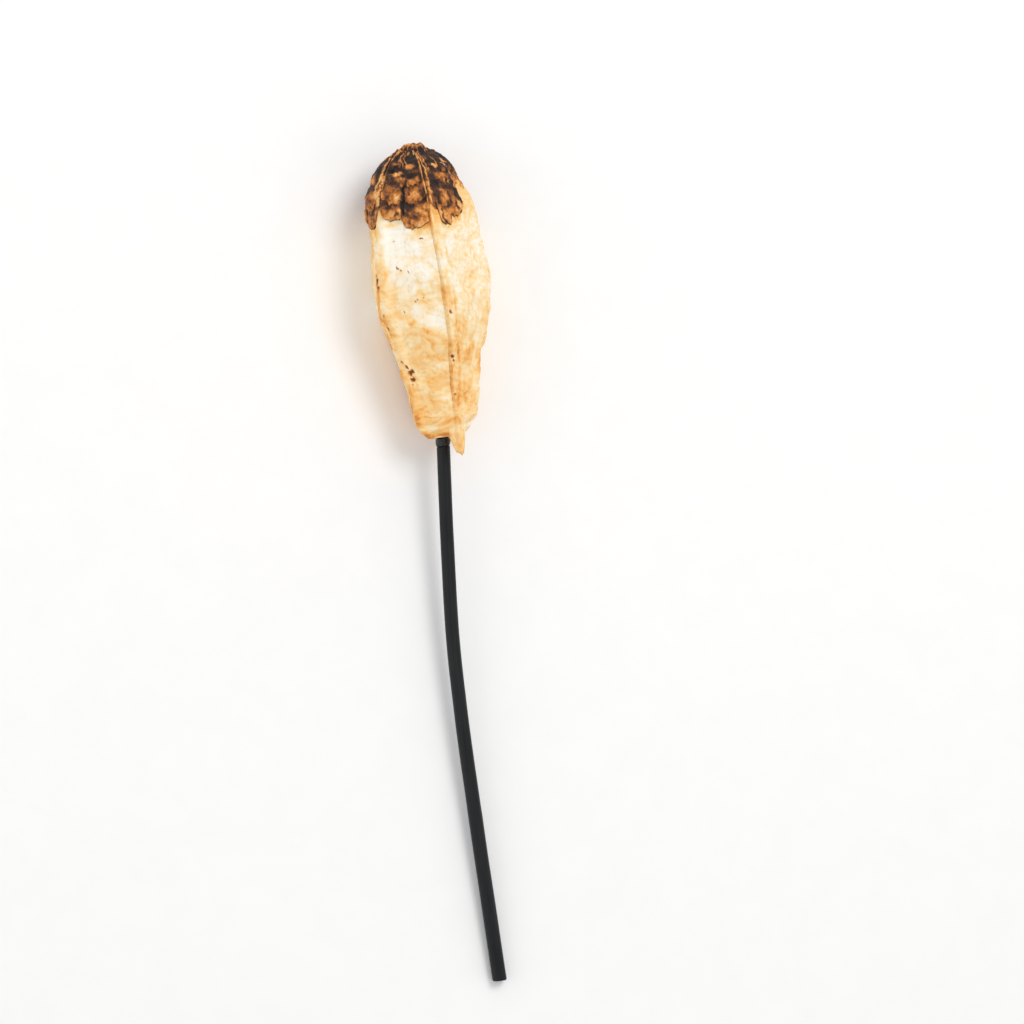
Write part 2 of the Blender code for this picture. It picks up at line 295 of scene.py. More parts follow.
# %% Lay the floor
floor_finish = Finish("white_paper", roughness=0.9)
paper = floor_finish.grain((1, 1, 1), 60.0).between(0.2, 0.8)
floor_finish.finished(floor_finish.blend(paper, paint(252, 252, 252), paint(254, 254, 254)))

bm = bmesh.new()
bmesh.ops.create_grid(bm, x_segments=8, y_segments=8, size=FLOOR_SIDE / 2)
floor = bpy.data.objects.new("floor", bpy.data.meshes.new("floor"))
bm.to_mesh(floor.data)
bm.free()
floor.data.materials.append(floor_finish.material)
bpy.context.scene.collection.objects.link(floor)
print("the floor is", FLOOR_SIDE, "m wide")

# %% [markdown]
# ## The measures of the pod
#
# The pod's form is a rule with a few measures: the radius at the ribs for each depth below the tip, the
# angles of the five ribs, how far each face swells, and the depths at which the ten lobes of the crown end.
# They repeat the solid model's, so that the fine pod lies exactly where the solid one does.

# %% State the measures of the body
CREST_DEPTH = np.array(
    [0, 2, 4.7, 9, 16.5, 25, 36, 47, 56, 66, 78, 86, 96, 106, 116, 122.5, 126, 128]
) / 1000
CREST_RADIUS = np.array(
    [0, 7.2, 11.4, 15.7, 19.3, 22.1, 24.2, 26.0, 26.8, 26.3, 24.5, 22.6, 19.2, 16.8, 15.2, 13.9, 11.6, 8.8]
) / 1000
FACES = 5
RIB_DEPTH = np.array([0, 35, 75, 128]) / 1000
RIB_ANGLES = np.array(
    [[9, 14, 20, 28], [84, 87, 90, 93], [160, 162, 163, 164], [231, 232, 233, 235], [319, 310, 306, 304]]
)
RIB_HEIGHT = 0.0013
RIB_FLAT = 0.13
RIB_SLOPE_FOOT = 0.33
STEP_FLAT = np.array([0.12, 0.12, 0.12, 0.12, 0.08])
STEP_FOOT = np.array([0.50, 0.24, 0.30, 0.24, 0.12])
RIB_START = 0.006
FACE_SWELL = np.array([0.22, 0.20, -0.04, 0.66, 0.12])
DOME_SWELL = 0.75
DOME_DEPTH = 0.020
DOME_FADE = 0.025
UNEVENNESS = 0.00042
LONG_LUMP = 0.043
MIDDLE_LUMP = 0.027
SHORT_LUMP = 0.013
LUMP_FADE = 0.020
print("the widest ribs reach", CREST_RADIUS.max() * 1000, "mm")

# %% State the measures of the crown
LOBE_LEFT = np.array([37.2, 33.0, 34.5, 32.5, 33.0]) / 1000
LOBE_RIGHT = np.array([33.6, 35.5, 32.0, 35.0, 37.3]) / 1000
LOBE_AT_RIB = 0.0285
LOBE_DROP = 0.0055
CRACK_HALF_WIDTH = 0.05
SCALE_HEIGHT = 0.0014
SCALE_ROOT = 0.15
SCALE_LIP = 0.8
SCALE_FADE = 0.12
SCALES_LEFT = np.array([0.0, 0.30, 0.52, 0.77, 1.0])
SCALES_RIGHT = np.array([0.0, 0.24, 0.46, 0.71, 1.0])
print("the longest lobe ends", round(max(LOBE_LEFT.max(), LOBE_RIGHT.max()) * 1000, 1), "mm down")

# %% State the measures of the torn tag and the worn rib
TAG_LENGTH = 0.0108
TAG_ANGLE = 36.0
TAG_LEFT = 26.0
TAG_RIGHT = 33.0
TAG_START = 0.1228
TAG_FULL = 0.1266
TAG_BACK = 0.1262
TAG_ROUNDNESS = 2.2
TAG_BLUNTNESS = 0.7

SHOULDER_CUT = 0.0015
SHOULDER_ANGLE = 88.0
SHOULDER_SPREAD = 36.0
SHOULDER_START = 0.002
SHOULDER_FULL = 0.008
SHOULDER_EASE = 0.018
SHOULDER_END = 0.030
CORNER_CUT = 0.0017
CORNER_ANGLE = 93.0
CORNER_SPREAD = 30.0
CORNER_START = 0.1195
CORNER_FULL = 0.1228
print("the tag hangs", TAG_LENGTH * 1000, "mm below the base")


# %% Two curves that everything uses
def smooth_step(x):
    """0 below 0, 1 above 1, and an easy S between them."""
    x = np.clip(x, 0, 1)
    return x * x * (3 - 2 * x)


def through(x, xs, ys):
    """The height at x of a smooth curve through the points (xs, ys)."""
    slopes = np.gradient(ys, xs)
    i = np.clip(np.searchsorted(xs, x) - 1, 0, len(xs) - 2)
    span = xs[i + 1] - xs[i]
    u = (x - xs[i]) / span
    start = (1 + 2 * u) * (1 - u) ** 2 * ys[i] + u * (1 - u) ** 2 * span * slopes[i]
    end = u**2 * (3 - 2 * u) * ys[i + 1] + u**2 * (u - 1) * span * slopes[i + 1]
    return start + end


half_way = float(through(POD_LENGTH / 2, CREST_DEPTH, CREST_RADIUS))
print("half way down, the radius is", round(half_way * 1000, 1), "mm")

# %% [markdown]
# ## A net of points round the pod
#
# The fine pod could be sculpted by hand, but a rule can be measured, mended and made again. So it starts as
# a plain drum: one straight line of points, spun once round the y axis. Each column of the drum has a place
# on one face, and each row a place down the pod. The rows of the crown follow the scales, so that every
# scale's lip falls on a row and can be crisp, and even hang over the next scale.

# %% Spin a drum and lay it over a net
FACE_COLUMNS = np.array([98, 54, 54, 54, 100])
COLUMNS = int(FACE_COLUMNS.sum())
ROWS_PER_SCALE = 24
SCALE_COUNT = len(SCALES_LEFT) - 1
CROWN_ROWS = SCALE_COUNT * ROWS_PER_SCALE
BODY_ROWS = 140
UNDERSIDE_ROWS = 7


def drum(name, columns, rows):
    """A closed tube whose points stand one unit apart down the y axis, from row 0 at the top."""
    bm = bmesh.new()
    line = [bm.verts.new((0, -row, 1)) for row in range(rows)]
    edges = [bm.edges.new(pair) for pair in zip(line, line[1:])]
    bmesh.ops.spin(
        bm, geom=line + edges, cent=(0, 0, 0), axis=(0, 1, 0), angle=2 * math.pi,
        steps=columns, use_merge=True,
    )
    rims = [e for e in bm.edges if e.is_boundary]
    lids = bmesh.ops.holes_fill(bm, edges=rims, sides=0)["faces"]
    bmesh.ops.poke(bm, faces=lids)
    bmesh.ops.recalc_face_normals(bm, faces=bm.faces)
    mesh = bpy.data.meshes.new(name)
    bm.to_mesh(mesh)
    bm.free()
    return mesh


def read_points(mesh):
    flat = np.empty(len(mesh.vertices) * 3)
    mesh.vertices.foreach_get("co", flat)
    return flat.reshape(-1, 3)


def lay_over(mesh, net, start, end):
    """Moves a drum's points to their places in net[row, column], and the middles of its lids to start
    and end. Returns each point's row and column."""
    points = read_points(mesh)
    turn = np.arctan2(points[:, 0], points[:, 2]) / (2 * math.pi)
    row = np.rint(-points[:, 1]).astype(int)
    column = np.rint(turn * net.shape[1]).astype(int) % net.shape[1]
    placed = net[row, column]
    lid = np.hypot(points[:, 0], points[:, 2]) < 0.5
    placed[lid & (row == 0)] = start
    placed[lid & (row > 0)] = end
    mesh.vertices.foreach_set("co", placed.ravel())
    mesh.update()
    return row, column


print("the pod's net has", COLUMNS, "columns")

# %% [markdown]
# ## Where the crown ends
#
# The crown's lower edge is ten rounded lobes, two to a face, with a crack between each pair. Some end early
# and leave a rib bare beside them. The edge is worked out first, because the rows of the net follow it.

# %% Give each column its place on a face
rng = np.random.default_rng(7)
EDGE_WOBBLE = 0.0007
EDGE_WOBBLE_SIZE = 0.09
LOBE_SQUARENESS = 3.2
FINE_RIB_EDGE = 0.12
LOBE_BEGIN = np.array([-0.82, -0.50, -0.94, -0.94, -0.95])
LOBE_STOP = np.array([0.27, 0.94, 0.94, 0.94, 0.95])
CRACK_DROP_LEFT = np.array([0.05, 0.6, 0.5, 0.6, 0.08])
CRACK_DROP_RIGHT = np.array([0.15, 0.5, 0.6, 0.4, 0.40])
CRACK_TOP = np.array([-0.22, 0.15, 0.0, 0.0, 0.0])
CRACK_LEAN = np.array([-0.31, 0.03, -0.04, 0.02, -0.15])


def noise_at(points, size, octaves=2, shift=0.0):
    """Smooth noise from about -1 to 1 at each point. Its lumps measure about size: a number, or three."""
    scaled = points / size + shift
    flat = [noise.fractal(Vector(p), 0.9, 2.0, octaves) for p in scaled.reshape(-1, 3)]
    return np.array(flat).reshape(points.shape[:-1])


face = np.repeat(np.arange(FACES), FACE_COLUMNS)
across = np.concatenate([np.linspace(-1, 1, count, endpoint=False) for count in FACE_COLUMNS])
round_pod = np.arange(COLUMNS) / COLUMNS * 2 * math.pi
circle_points = np.stack([np.cos(round_pod), np.sin(round_pod), np.zeros(COLUMNS)], axis=1)


def lobe_place(crack):
    """Where each column lies across its own lobe, from -1 at the crack to 1 at the lobe's far side."""
    far = np.where(across > crack, LOBE_STOP[face], LOBE_BEGIN[face])
    return 2 * (across - crack) / (far - crack) - 1


lean_end = CRACK_LEAN[face]
right_side = smooth_step(((across - lean_end) / CRACK_HALF_WIDTH + 1) / 2)
on_rib = smooth_step(1 - (1 - np.abs(across)) / FINE_RIB_EDGE)
lobe = LOBE_LEFT[face] + (LOBE_RIGHT[face] - LOBE_LEFT[face]) * right_side
edge_place = lobe_place(lean_end)
crack_drop = np.where(across > lean_end, CRACK_DROP_RIGHT[face], CRACK_DROP_LEFT[face])
drop = LOBE_DROP * np.where(edge_place < 0, crack_drop, 1.0)
crown_edge = lobe - drop * np.minimum(1, np.abs(edge_place)) ** LOBE_SQUARENESS
crown_edge = crown_edge + (LOBE_AT_RIB - crown_edge) * on_rib
crown_edge = crown_edge + EDGE_WOBBLE * noise_at(circle_points, EDGE_WOBBLE_SIZE, 3)
edge_span = crown_edge.min() * 1000, crown_edge.max() * 1000
print("the crown ends %.1f to %.1f mm down" % edge_span)

# %% [markdown]
# ## The scales of the crown
#
# Ten columns of scales run down from the tip, two to a face. Each scale rises from under the one above it
# to a thick lip. The ends differ from column to column and waver a little, as on anything that grew.

# %% Space the rows
SCALE_JITTER = 0.060
LIP_WOBBLE = 0.052
LIP_WOBBLE_SIZE = 0.16
TIP_START = 0.045
TIP_SPACING = 1.7
CREST_FROM = 1.03
CREST_BLEND = 0.16
WHOLE_LOBE = 0.9
BODY_SPLIT = 0.88
BODY_ROWS_LOW = 36

steps = np.linspace(0, 1, ROWS_PER_SCALE)
along = np.tile(steps, SCALE_COUNT)
along[:ROWS_PER_SCALE] = np.linspace(TIP_START, 1, ROWS_PER_SCALE) ** TIP_SPACING
along = along[:, None]
scale = np.repeat(np.arange(SCALE_COUNT), ROWS_PER_SCALE)

toward_right = 0.5 + (right_side - 0.5) * (1 - on_rib)
ends = SCALES_LEFT[:, None] * (1 - toward_right) + SCALES_RIGHT[:, None] * toward_right
inner = slice(1, SCALE_COUNT)
shifts = rng.uniform(-SCALE_JITTER, SCALE_JITTER, (SCALE_COUNT - 1, FACES, 2))
ends[inner] += shifts[:, face, 0] * (1 - toward_right) + shifts[:, face, 1] * toward_right
for lip in range(1, SCALE_COUNT):
    ends[lip] += LIP_WOBBLE * noise_at(circle_points, LIP_WOBBLE_SIZE, 2, 5.0 * lip)
share = ends[scale] + (ends[scale + 1] - ends[scale]) * along
crack_start = CRACK_TOP[face]
crack_line = crack_start + (lean_end - crack_start) * smooth_step((share - 0.55) / 0.4)
lobe_side = lobe_place(crack_line)
in_lobe = np.abs(lobe_side)

# Where a lobe stops short of its rib, the bare crest of the rib shows beside it.
far_end = np.where(across > crack_line, LOBE_STOP[face], LOBE_BEGIN[face])
crest = smooth_step((lobe_side - CREST_FROM) / CREST_BLEND) * (np.abs(far_end) < WHOLE_LOBE)

upper_share = np.linspace(0, BODY_SPLIT, BODY_ROWS - BODY_ROWS_LOW + 1)[:-1]
lower_share = np.linspace(BODY_SPLIT, 1, BODY_ROWS_LOW)
body_share = np.concatenate([upper_share, lower_share])[:, None]
depth = np.vstack([crown_edge * share, crown_edge + (POD_LENGTH - crown_edge) * body_share])
print(depth.shape[0], "rows, from", round(depth.min() * 1000, 2), "mm below the tip")


# %% Follow the ribs
def crest_radius(depth):
    """The radius at a rib's crest. Measured against the root of the depth, the tip comes out round."""
    return through(np.sqrt(depth), np.sqrt(CREST_DEPTH), CREST_RADIUS)


def rib_angle(rib, depth):
    """The angle of the rib beside each column, in degrees. Rib FACES is rib 0, a turn later."""
    angle = np.empty(depth.shape)
    for number in range(FACES + 1):
        here = rib == number
        turn = 360 if number == FACES else 0
        angle[:, here] = through(depth[:, here], RIB_DEPTH, RIB_ANGLES[number % FACES]) + turn
    return angle


def rib_relief(across):
    """1 on a rib's flat crest, 0 on the face beside it."""
    foot = np.where(across > 0, STEP_FOOT[face], RIB_SLOPE_FOOT)
    flat = np.where(across > 0, STEP_FLAT[face], RIB_FLAT)
    return smooth_step((foot - (1 - np.abs(across))) / (foot - flat))


left, right = rib_angle(face, depth), rib_angle(face + 1, depth)
angle = np.radians(left + (right - left) * (across + 1) / 2)
widths = right - left
print("the faces are", round(float(widths.min())), "to", round(float(widths.max())), "degrees wide")


# %% Work out the bare pod
def unevenness(angle, depth):
    """The slow lumps and hollows of a grown thing, from waves along and around the pod."""
    down = 2 * math.pi * depth
    lumps = np.sin(down / LONG_LUMP + 2 * angle + 1.0)
    lumps += np.sin(down / MIDDLE_LUMP + 0.6) * np.cos(3 * angle + 0.4)
    lumps += 0.7 * np.sin(down / SHORT_LUMP) * np.cos(4 * angle + 1.9)
    return UNEVENNESS * lumps * smooth_step(depth / LUMP_FADE)


def worn(angle, depth):
    """How much the rib on the right is worn down, at the tip's shoulder and at the base's corner."""
    turn = np.degrees(angle) % 360
    shoulder = SHOULDER_CUT * np.exp(-(((turn - SHOULDER_ANGLE) / SHOULDER_SPREAD) ** 2))
    shoulder *= smooth_step((depth - SHOULDER_START) / (SHOULDER_FULL - SHOULDER_START))
    shoulder *= 1 - smooth_step((depth - SHOULDER_EASE) / (SHOULDER_END - SHOULDER_EASE))
    corner = CORNER_CUT * np.exp(-(((turn - CORNER_ANGLE) / CORNER_SPREAD) ** 2))
    return shoulder + corner * smooth_step((depth - CORNER_START) / (CORNER_FULL - CORNER_START))


def bare_radius(angle, depth):
    """The radius of the pod's outer surface, without the scales of its crown."""
    core = np.maximum(crest_radius(depth) - RIB_HEIGHT, 0)
    half = math.radians(180 / FACES)
    chord = math.cos(half) / np.cos(half * across)
    dome = DOME_SWELL * (1 - smooth_step((depth - DOME_DEPTH) / DOME_FADE))
    section = chord + (1 - chord) * (FACE_SWELL[face] + dome)
    rib = RIB_HEIGHT * rib_relief(across) * smooth_step(depth / RIB_START)
    return core * section + rib + unevenness(angle, depth) - worn(angle, depth)


def tag_drop(angle, depth):
    """How far the torn tag carries a point of the rim below the base."""
    off = np.degrees(angle) % 360 - TAG_ANGLE
    aside = np.abs(off) / np.where(off < 0, TAG_LEFT, TAG_RIGHT)
    outline = np.maximum(0, 1 - aside**TAG_ROUNDNESS) ** TAG_BLUNTNESS
    outside = smooth_step((depth - TAG_START) / (TAG_FULL - TAG_START))
    inside = 1 - 0.7 * smooth_step((depth - TAG_BACK) / (POD_LENGTH - TAG_BACK))
    return TAG_LENGTH * outline * outside * inside


def on_surface(angle, depth, radius):
    height = POD_LENGTH - depth - tag_drop(angle, depth)
    return np.stack([radius * np.sin(angle), height, radius * np.cos(angle)], axis=-1)


bare = bare_radius(angle, depth)
skin = on_surface(angle, depth, bare)
print("the bare pod is", np.round(np.ptp(skin.reshape(-1, 3), axis=0) * 1000, 1), "mm")

# %% [markdown]
# ## Relief
#
# Everything finer than the bare form is added as a height above it: the scales with their lips, the crack
# down each face's middle, thin double lines on the ribs, lumps, pits, wrinkles and rough ribs. Kept in one
# array, the same heights later paint shade into the crown's hollows and highlights onto its bulges.

# %% Raise the scales
LOBE_REACH = 1.07
LOBE_SIDE = 0.30
CRACK_SIDE = 0.80
THIN_SCALE = 0.45
THICK_SCALE = 1.15
FAINT_LIP = 0.35
LIP_FADE_SIZE = 0.006
LIP_ROUND_START = 0.78
LIP_ROUND = 0.45
CROWN = slice(0, CROWN_ROWS)
BODY = slice(CROWN_ROWS, None)

rise = SCALE_ROOT + (1 - SCALE_ROOT) * np.sin(np.pi / 2 * np.minimum(1, along / SCALE_LIP))
rise = rise - LIP_ROUND * smooth_step((along - LIP_ROUND_START) / (1 - LIP_ROUND_START))
between = smooth_step((LOBE_REACH - in_lobe) / LOBE_SIDE)
between = np.where(lobe_side < 0, CRACK_SIDE + (1 - CRACK_SIDE) * between, between)
thickness = rng.uniform(THIN_SCALE, THICK_SCALE, (SCALE_COUNT, FACES, 2))[scale]
thickness = thickness[:, face, 0] * (1 - toward_right) + thickness[:, face, 1] * toward_right
crown_skin = skin[CROWN]
lip_strength = np.clip(0.75 + 1.1 * noise_at(crown_skin, LIP_FADE_SIZE, 2, 140.0), FAINT_LIP, 1)
lip_strength = np.maximum(lip_strength, smooth_step((share - 0.80) / 0.12))
plain_rise = 0.55 + 0.25 * share
rise = plain_rise + (rise - plain_rise) * lip_strength
scales = SCALE_HEIGHT * (0.55 + 0.45 * share) * rise * between * smooth_step(share / SCALE_FADE) * thickness
print("the scales stand up to", round(scales.max() * 1000, 2), "mm proud")

# %% Add cracks, lines and lumps
CRACK_DEPTH = 0.0006
CRACK_WIDTH = 0.0006
NOTCH_SIZE = 0.0045
CRACK_WANDER = 0.0019
CRACK_WANDER_SIZE = 0.005
LINE_HEIGHT = 0.00040
LINE_WIDTH = 0.00030
LINE_BREAK_SIZE = 0.0028
RIB_LINE = 0.0008
MIDDLE_LINE = 0.0007
BIG_LUMP = 0.00062
BIG_LUMP_SIZE = 0.0042
SMALL_LUMP = 0.00036
SMALL_LUMP_SIZE = 0.0017
TIP_LUMP = 0.0015
TIP_LUMP_SIZE = 0.0024


def bell(distance, width):
    return np.exp(-((distance / width) ** 2))


face_arc = np.radians(right - left) * bare
crack_way = np.stack([depth, 0 * depth + face * CRACK_WANDER_SIZE / FACES, 0 * depth], axis=-1)
crack_wander = CRACK_WANDER * noise_at(crack_way, CRACK_WANDER_SIZE, 3)
crack_place = np.vstack([crack_line, np.repeat(crack_line[-1:], BODY_ROWS, axis=0)])
from_middle = np.abs((across - crack_place) * face_arc / 2 - crack_wander)
from_rib = (1 - np.abs(across)) * face_arc / 2

big_lumps = noise_at(crown_skin, BIG_LUMP_SIZE, 2)
small_lumps = noise_at(crown_skin, SMALL_LUMP_SIZE, 2, 31.0)
notches = np.clip(0.45 + 1.1 * noise_at(crown_skin, NOTCH_SIZE, 2, 12.0), 0.08, 1)
crack_shade = bell(from_middle[CROWN], CRACK_WIDTH) * smooth_step((share - 0.3) / 0.15) * notches
crack = CRACK_DEPTH * crack_shade * (1 - smooth_step((share - 0.93) / 0.07))
near_tip = 1 - smooth_step((share - 0.28) / 0.12)
rib_lines = bell(from_rib[CROWN] - RIB_LINE, LINE_WIDTH) * (1 - smooth_step((share - 0.82) / 0.18))
rib_lines = rib_lines * (1 - crest)
middle_lines = bell(from_middle[CROWN] - MIDDLE_LINE, LINE_WIDTH) * near_tip
lines = np.maximum(rib_lines, middle_lines) * smooth_step((share - 0.02) / 0.04)
lines = lines * np.clip(0.95 + 0.8 * noise_at(crown_skin, LINE_BREAK_SIZE, 2, 77.0), 0.3, 1)
lumpy = smooth_step(share / 0.05) * (1 - crest * smooth_step((share - 0.7) / 0.3))
tip_lumps = TIP_LUMP * noise_at(crown_skin, TIP_LUMP_SIZE, 2, 23.0)
tip_lumps = tip_lumps * (1 - smooth_step((share - 0.10) / 0.16))

raised = np.zeros(depth.shape)
raised[CROWN] = scales - crack + LINE_HEIGHT * lines
raised[CROWN] += (BIG_LUMP * big_lumps + SMALL_LUMP * small_lumps) * lumpy * (1 - 0.7 * lines)
print("the crown's relief spans", round(float(np.ptp(raised[CROWN])) * 1000, 2), "mm")

# %% [markdown]
# ## Spots, pits and stains
#
# The marks that the photograph shows are placed one by one: a pixel, a size in pixels and a
# strength. A function turns a pixel into a place on the near side of the pod. The far side, which no
# photograph shows, gets marks of the same kinds from a seeded draw.

# %% Find a pixel's place on the pod
lean_turn = Matrix.Rotation(lean, 2)


def on_pod(pixel_x, pixel_y):
    """The place in the pod's frame, seen along its z axis, of a pixel of the photograph."""
    return lean_turn @ Vector((pixel_x - BASE_PIXEL.x, BASE_PIXEL.y - pixel_y)) * metres_per_pixel


print("the tip's pixel is at", [round(c, 4) for c in on_pod(*TIP_PIXEL)], "m")

# %% Draw soft marks and lines
MARK_WARP = 0.0011
PIT_WARP = 0.0007
MARK_WARP_SIZE = 0.0034
PIT_WARP_SIZE = 0.0015
FACES_CAMERA = -0.002
ROUND_THE_SIDE = 2.5
NEAR_SIDE_PULL = 0.5
wide_bend = [MARK_WARP * noise_at(skin, MARK_WARP_SIZE, 3, shift) for shift in (91.0, 95.0)]
fine_bend = [PIT_WARP * noise_at(skin, PIT_WARP_SIZE, 2, shift) for shift in (91.0, 95.0)]


def marks(pixels, bend=wide_bend):
    """The strength at each point of the net of soft oval marks, each (x, y, half width, half height,
    strength, tilt in degrees) in pixels, on the side that the camera sees. The bend breaks their outlines.
    A mark lies on the nearest wood under its pixel, and fades along the view, so that it never smears
    down the pod's side."""
    total = np.zeros(depth.shape)
    near = skin[..., 2] > FACES_CAMERA
    for x, y, half_width, half_height, strength, tilt in pixels:
        place = on_pod(x, y)
        dx = skin[..., 0] + bend[0] - place.x
        dy = skin[..., 1] + bend[1] - place.y
        seen = np.argmin(np.hypot(dx, dy) - NEAR_SIDE_PULL * skin[..., 2] + ~near)
        dz = skin[..., 2] - skin[..., 2].flat[seen]
        turn = math.radians(tilt)
        u = (dx * math.cos(turn) + dy * math.sin(turn)) / (half_width * metres_per_pixel)
        v = (dy * math.cos(turn) - dx * math.sin(turn)) / (half_height * metres_per_pixel)
        w = dz / (ROUND_THE_SIDE * max(half_width, half_height) * metres_per_pixel)
        total = np.maximum(total, strength * np.exp(-((u * u + v * v + w * w) ** 1.5)) * near)
    return total


def strokes(paths, bend=fine_bend):
    """The strength at each point of the net of soft lines, each (strength, half width, pixels on its way),
    on the side that the camera sees."""
    total = np.zeros(depth.shape)
    x, y = skin[..., 0] + bend[0], skin[..., 1] + bend[1]
    for strength, half_width, pixels in paths:
        places = [on_pod(*pixel) for pixel in pixels]
        for start, stop in zip(places, places[1:]):
            step = stop - start
            gone = np.clip(((x - start.x) * step.x + (y - start.y) * step.y) / step.length_squared, 0, 1)
            away = np.hypot(x - start.x - gone * step.x, y - start.y - gone * step.y)
            total = np.maximum(total, strength * bell(away, half_width * metres_per_pixel))
    return total * (skin[..., 2] > FACES_CAMERA)


print(int((skin[..., 2] > FACES_CAMERA).sum()), "points of the net face the camera")

# %% Mark pits and spots
PITS = [
    (375.5, 277, 1.6, 3.4, 0.8, 0),
    (377, 283, 1.8, 4.2, 1.0, -10),
    (379, 290, 1.8, 2.6, 1.0, 0),
    (375.5, 268, 1.3, 2.2, 0.6, 0),
    (384, 318, 1.6, 2.6, 0.6, 20),
    (387.5, 330, 1.8, 2.8, 0.8, 20),
    (389, 336, 1.2, 2.0, 0.6, 20),
    (402.5, 363, 1.6, 2.4, 0.7, 30),
    (406.5, 367.5, 1.9, 2.2, 0.9, 30),
    (410.5, 373.5, 3.6, 2.6, 1.25, 35),
    (413.3, 379.5, 2.0, 2.6, 1.15, 0),
    (412.8, 385.5, 1.0, 2.4, 0.6, 0),
    (451.5, 313, 2.2, 2.8, 0.8, 0),
    (453, 357, 2.2, 2.4, 1.0, 0),
    (454.5, 361.5, 1.6, 2.2, 0.8, 0),
    (456, 394.5, 1.5, 1.8, 0.8, 0),
    (452.5, 304, 1.8, 3.0, 0.5, 0),
]
SPOTS = [
    (418, 230, 1.6, 4.0, 0.36, 0),
    (422, 240.5, 1.7, 1.4, 1.0, 0),
    (419, 241, 1.0, 0.6, 0.6, 0),
    (418.5, 244, 0.7, 0.5, 0.5, 0),
    (394, 243, 1.5, 1.3, 0.5, 0),
    (381.8, 246.5, 1.4, 1.4, 0.5, 0),
    (404.6, 314, 1.2, 1.2, 0.9, 0),
    (448.6, 229.3, 0.9, 0.9, 0.6, 0),
    (451.8, 224.5, 0.9, 0.9, 0.7, 0),
    (480.5, 291, 1.0, 1.0, 0.5, 0),
    (485.5, 398, 1.2, 2.0, 0.7, 0),
]
SCRATCHES = [
    (0.85, 0.8, [(397.2, 268.6), (399.5, 271.0), (403.0, 273.3)]),
    (0.70, 0.7, [(407.6, 272.6), (410.0, 274.8)]),
    (0.80, 0.8, [(415.0, 304.5), (418.5, 301.5)]),
    (0.60, 0.6, [(421.5, 301.6), (425.0, 299.6)]),
    (0.50, 0.7, [(446.0, 399.0), (447.5, 403.0)]),
]
pits = marks(PITS, fine_bend)
spots = np.maximum(marks(SPOTS, fine_bend), strokes(SCRATCHES))
print(len(PITS), "pits and", len(SPOTS), "spots on the near side")

# %% Scatter marks over the far side
FAR_PITS_PER_RIB = 9
FAR_SPOTS = 26


def far_mark(angle_deg, deep, half_width, half_height):
    """An oval mark at an angle round the pod and a depth below the tip, with its half sizes in metres."""
    off = (np.degrees(angle) - angle_deg + 180) % 360 - 180
    u = np.radians(off) * bare / half_width
    v = (depth - deep) / half_height
    return np.exp(-((u * u + v * v) ** 1.5))


for rib in (1, 2, 3):
    for _ in range(FAR_PITS_PER_RIB):
        deep = rng.uniform(0.045, 0.118)
        place = float(through(deep, RIB_DEPTH, RIB_ANGLES[rib])) + rng.uniform(-3, 3)
        mark = far_mark(place, deep, rng.uniform(0.0005, 0.0009), rng.uniform(0.0006, 0.0014))
        pits = np.maximum(pits, mark * rng.uniform(0.4, 1.0))
for _ in range(FAR_SPOTS):
    size = rng.uniform(0.0003, 0.0007)
    mark = far_mark(rng.uniform(95, 300), rng.uniform(0.04, 0.12), size, size * rng.uniform(0.8, 2.0))
    spots = np.maximum(spots, mark * rng.uniform(0.3, 0.8))
print("the deepest pit has strength", round(float(pits.max()), 2))

# %% [markdown]
# ## The wrinkles of the body
#
# The pale wood shrank as it dried. It has shallow dents, fine creases across its fibres, and ribs as rough
# as a torn edge. Noise that is squeezed along one axis makes creases, and its folds, where it crosses zero,
# are sharper than its hills. A bump in the finish would miss the outline, so the larger ones are real here.

# %% Wrinkle the body
DENT = 0.00030
DENT_SIZE = 0.010
CREASE = 0.00034
CREASE_SIZE = np.array([0.0065, 0.0023, 0.0065])
CREASE_DRIFT = 0.005
DRIFT_SIZE = 0.014
RIB_ROUGHNESS = 0.00034
RIB_ROUGH_SIZE = np.array([0.0024, 0.0034, 0.0024])
PIT_DEPTH = 0.0006
STEP_GROOVE = 0.00055
STEP_PLACE = 0.118
STEP_WIDTH = 0.020
STEP_SHARE = np.array([0.0, 0.4, 0.3, 0.4, 1.0])
STEP_END = 0.108
STEP_EASE = 0.012
STEP_FADE = 0.85
STRIP_LINE = [
    (444, 238), (448.5, 258), (453, 275), (455.5, 290), (456, 312),
    (457, 335), (459, 356), (460, 380), (459.5, 406),
]
STRIP_GROOVE = 0.00035
STRIP_WIDTH = 1.5

body_skin = skin[BODY]
below_lip = smooth_step(body_share / 0.03)
above_rim = 1 - smooth_step((body_share - 0.985) / 0.015)
ribs = rib_relief(across)
fine = DENT * noise_at(body_skin, DENT_SIZE, 2, 3.0)
drift = np.stack([noise_at(skin, DRIFT_SIZE, 1, shift) for shift in (101.0, 105.0, 109.0)], axis=-1)
creases = 1 - np.clip(np.abs(noise_at(skin + CREASE_DRIFT * drift, CREASE_SIZE, 2, 8.0)) * 3.2, 0, 1)
fine -= CREASE * creases[BODY] ** 2 * (1 - 0.6 * ribs)
fine += RIB_ROUGHNESS * noise_at(body_skin, RIB_ROUGH_SIZE, 3, 17.0) * ribs
step_fade = 1 - STEP_FADE * smooth_step((depth - STEP_END) / STEP_EASE)
groove = STEP_SHARE[face] * bell(1 - across - STEP_PLACE, STEP_WIDTH) * step_fade[BODY]
strip_line = strokes([(1.0, STRIP_WIDTH, STRIP_LINE)])
fine -= STEP_GROOVE * groove + STRIP_GROOVE * strip_line[BODY]
raised[BODY] += fine * below_lip * above_rim
raised -= PIT_DEPTH * pits
print("the body's relief spans", round(np.ptp(raised[BODY]) * 1000, 2), "mm")

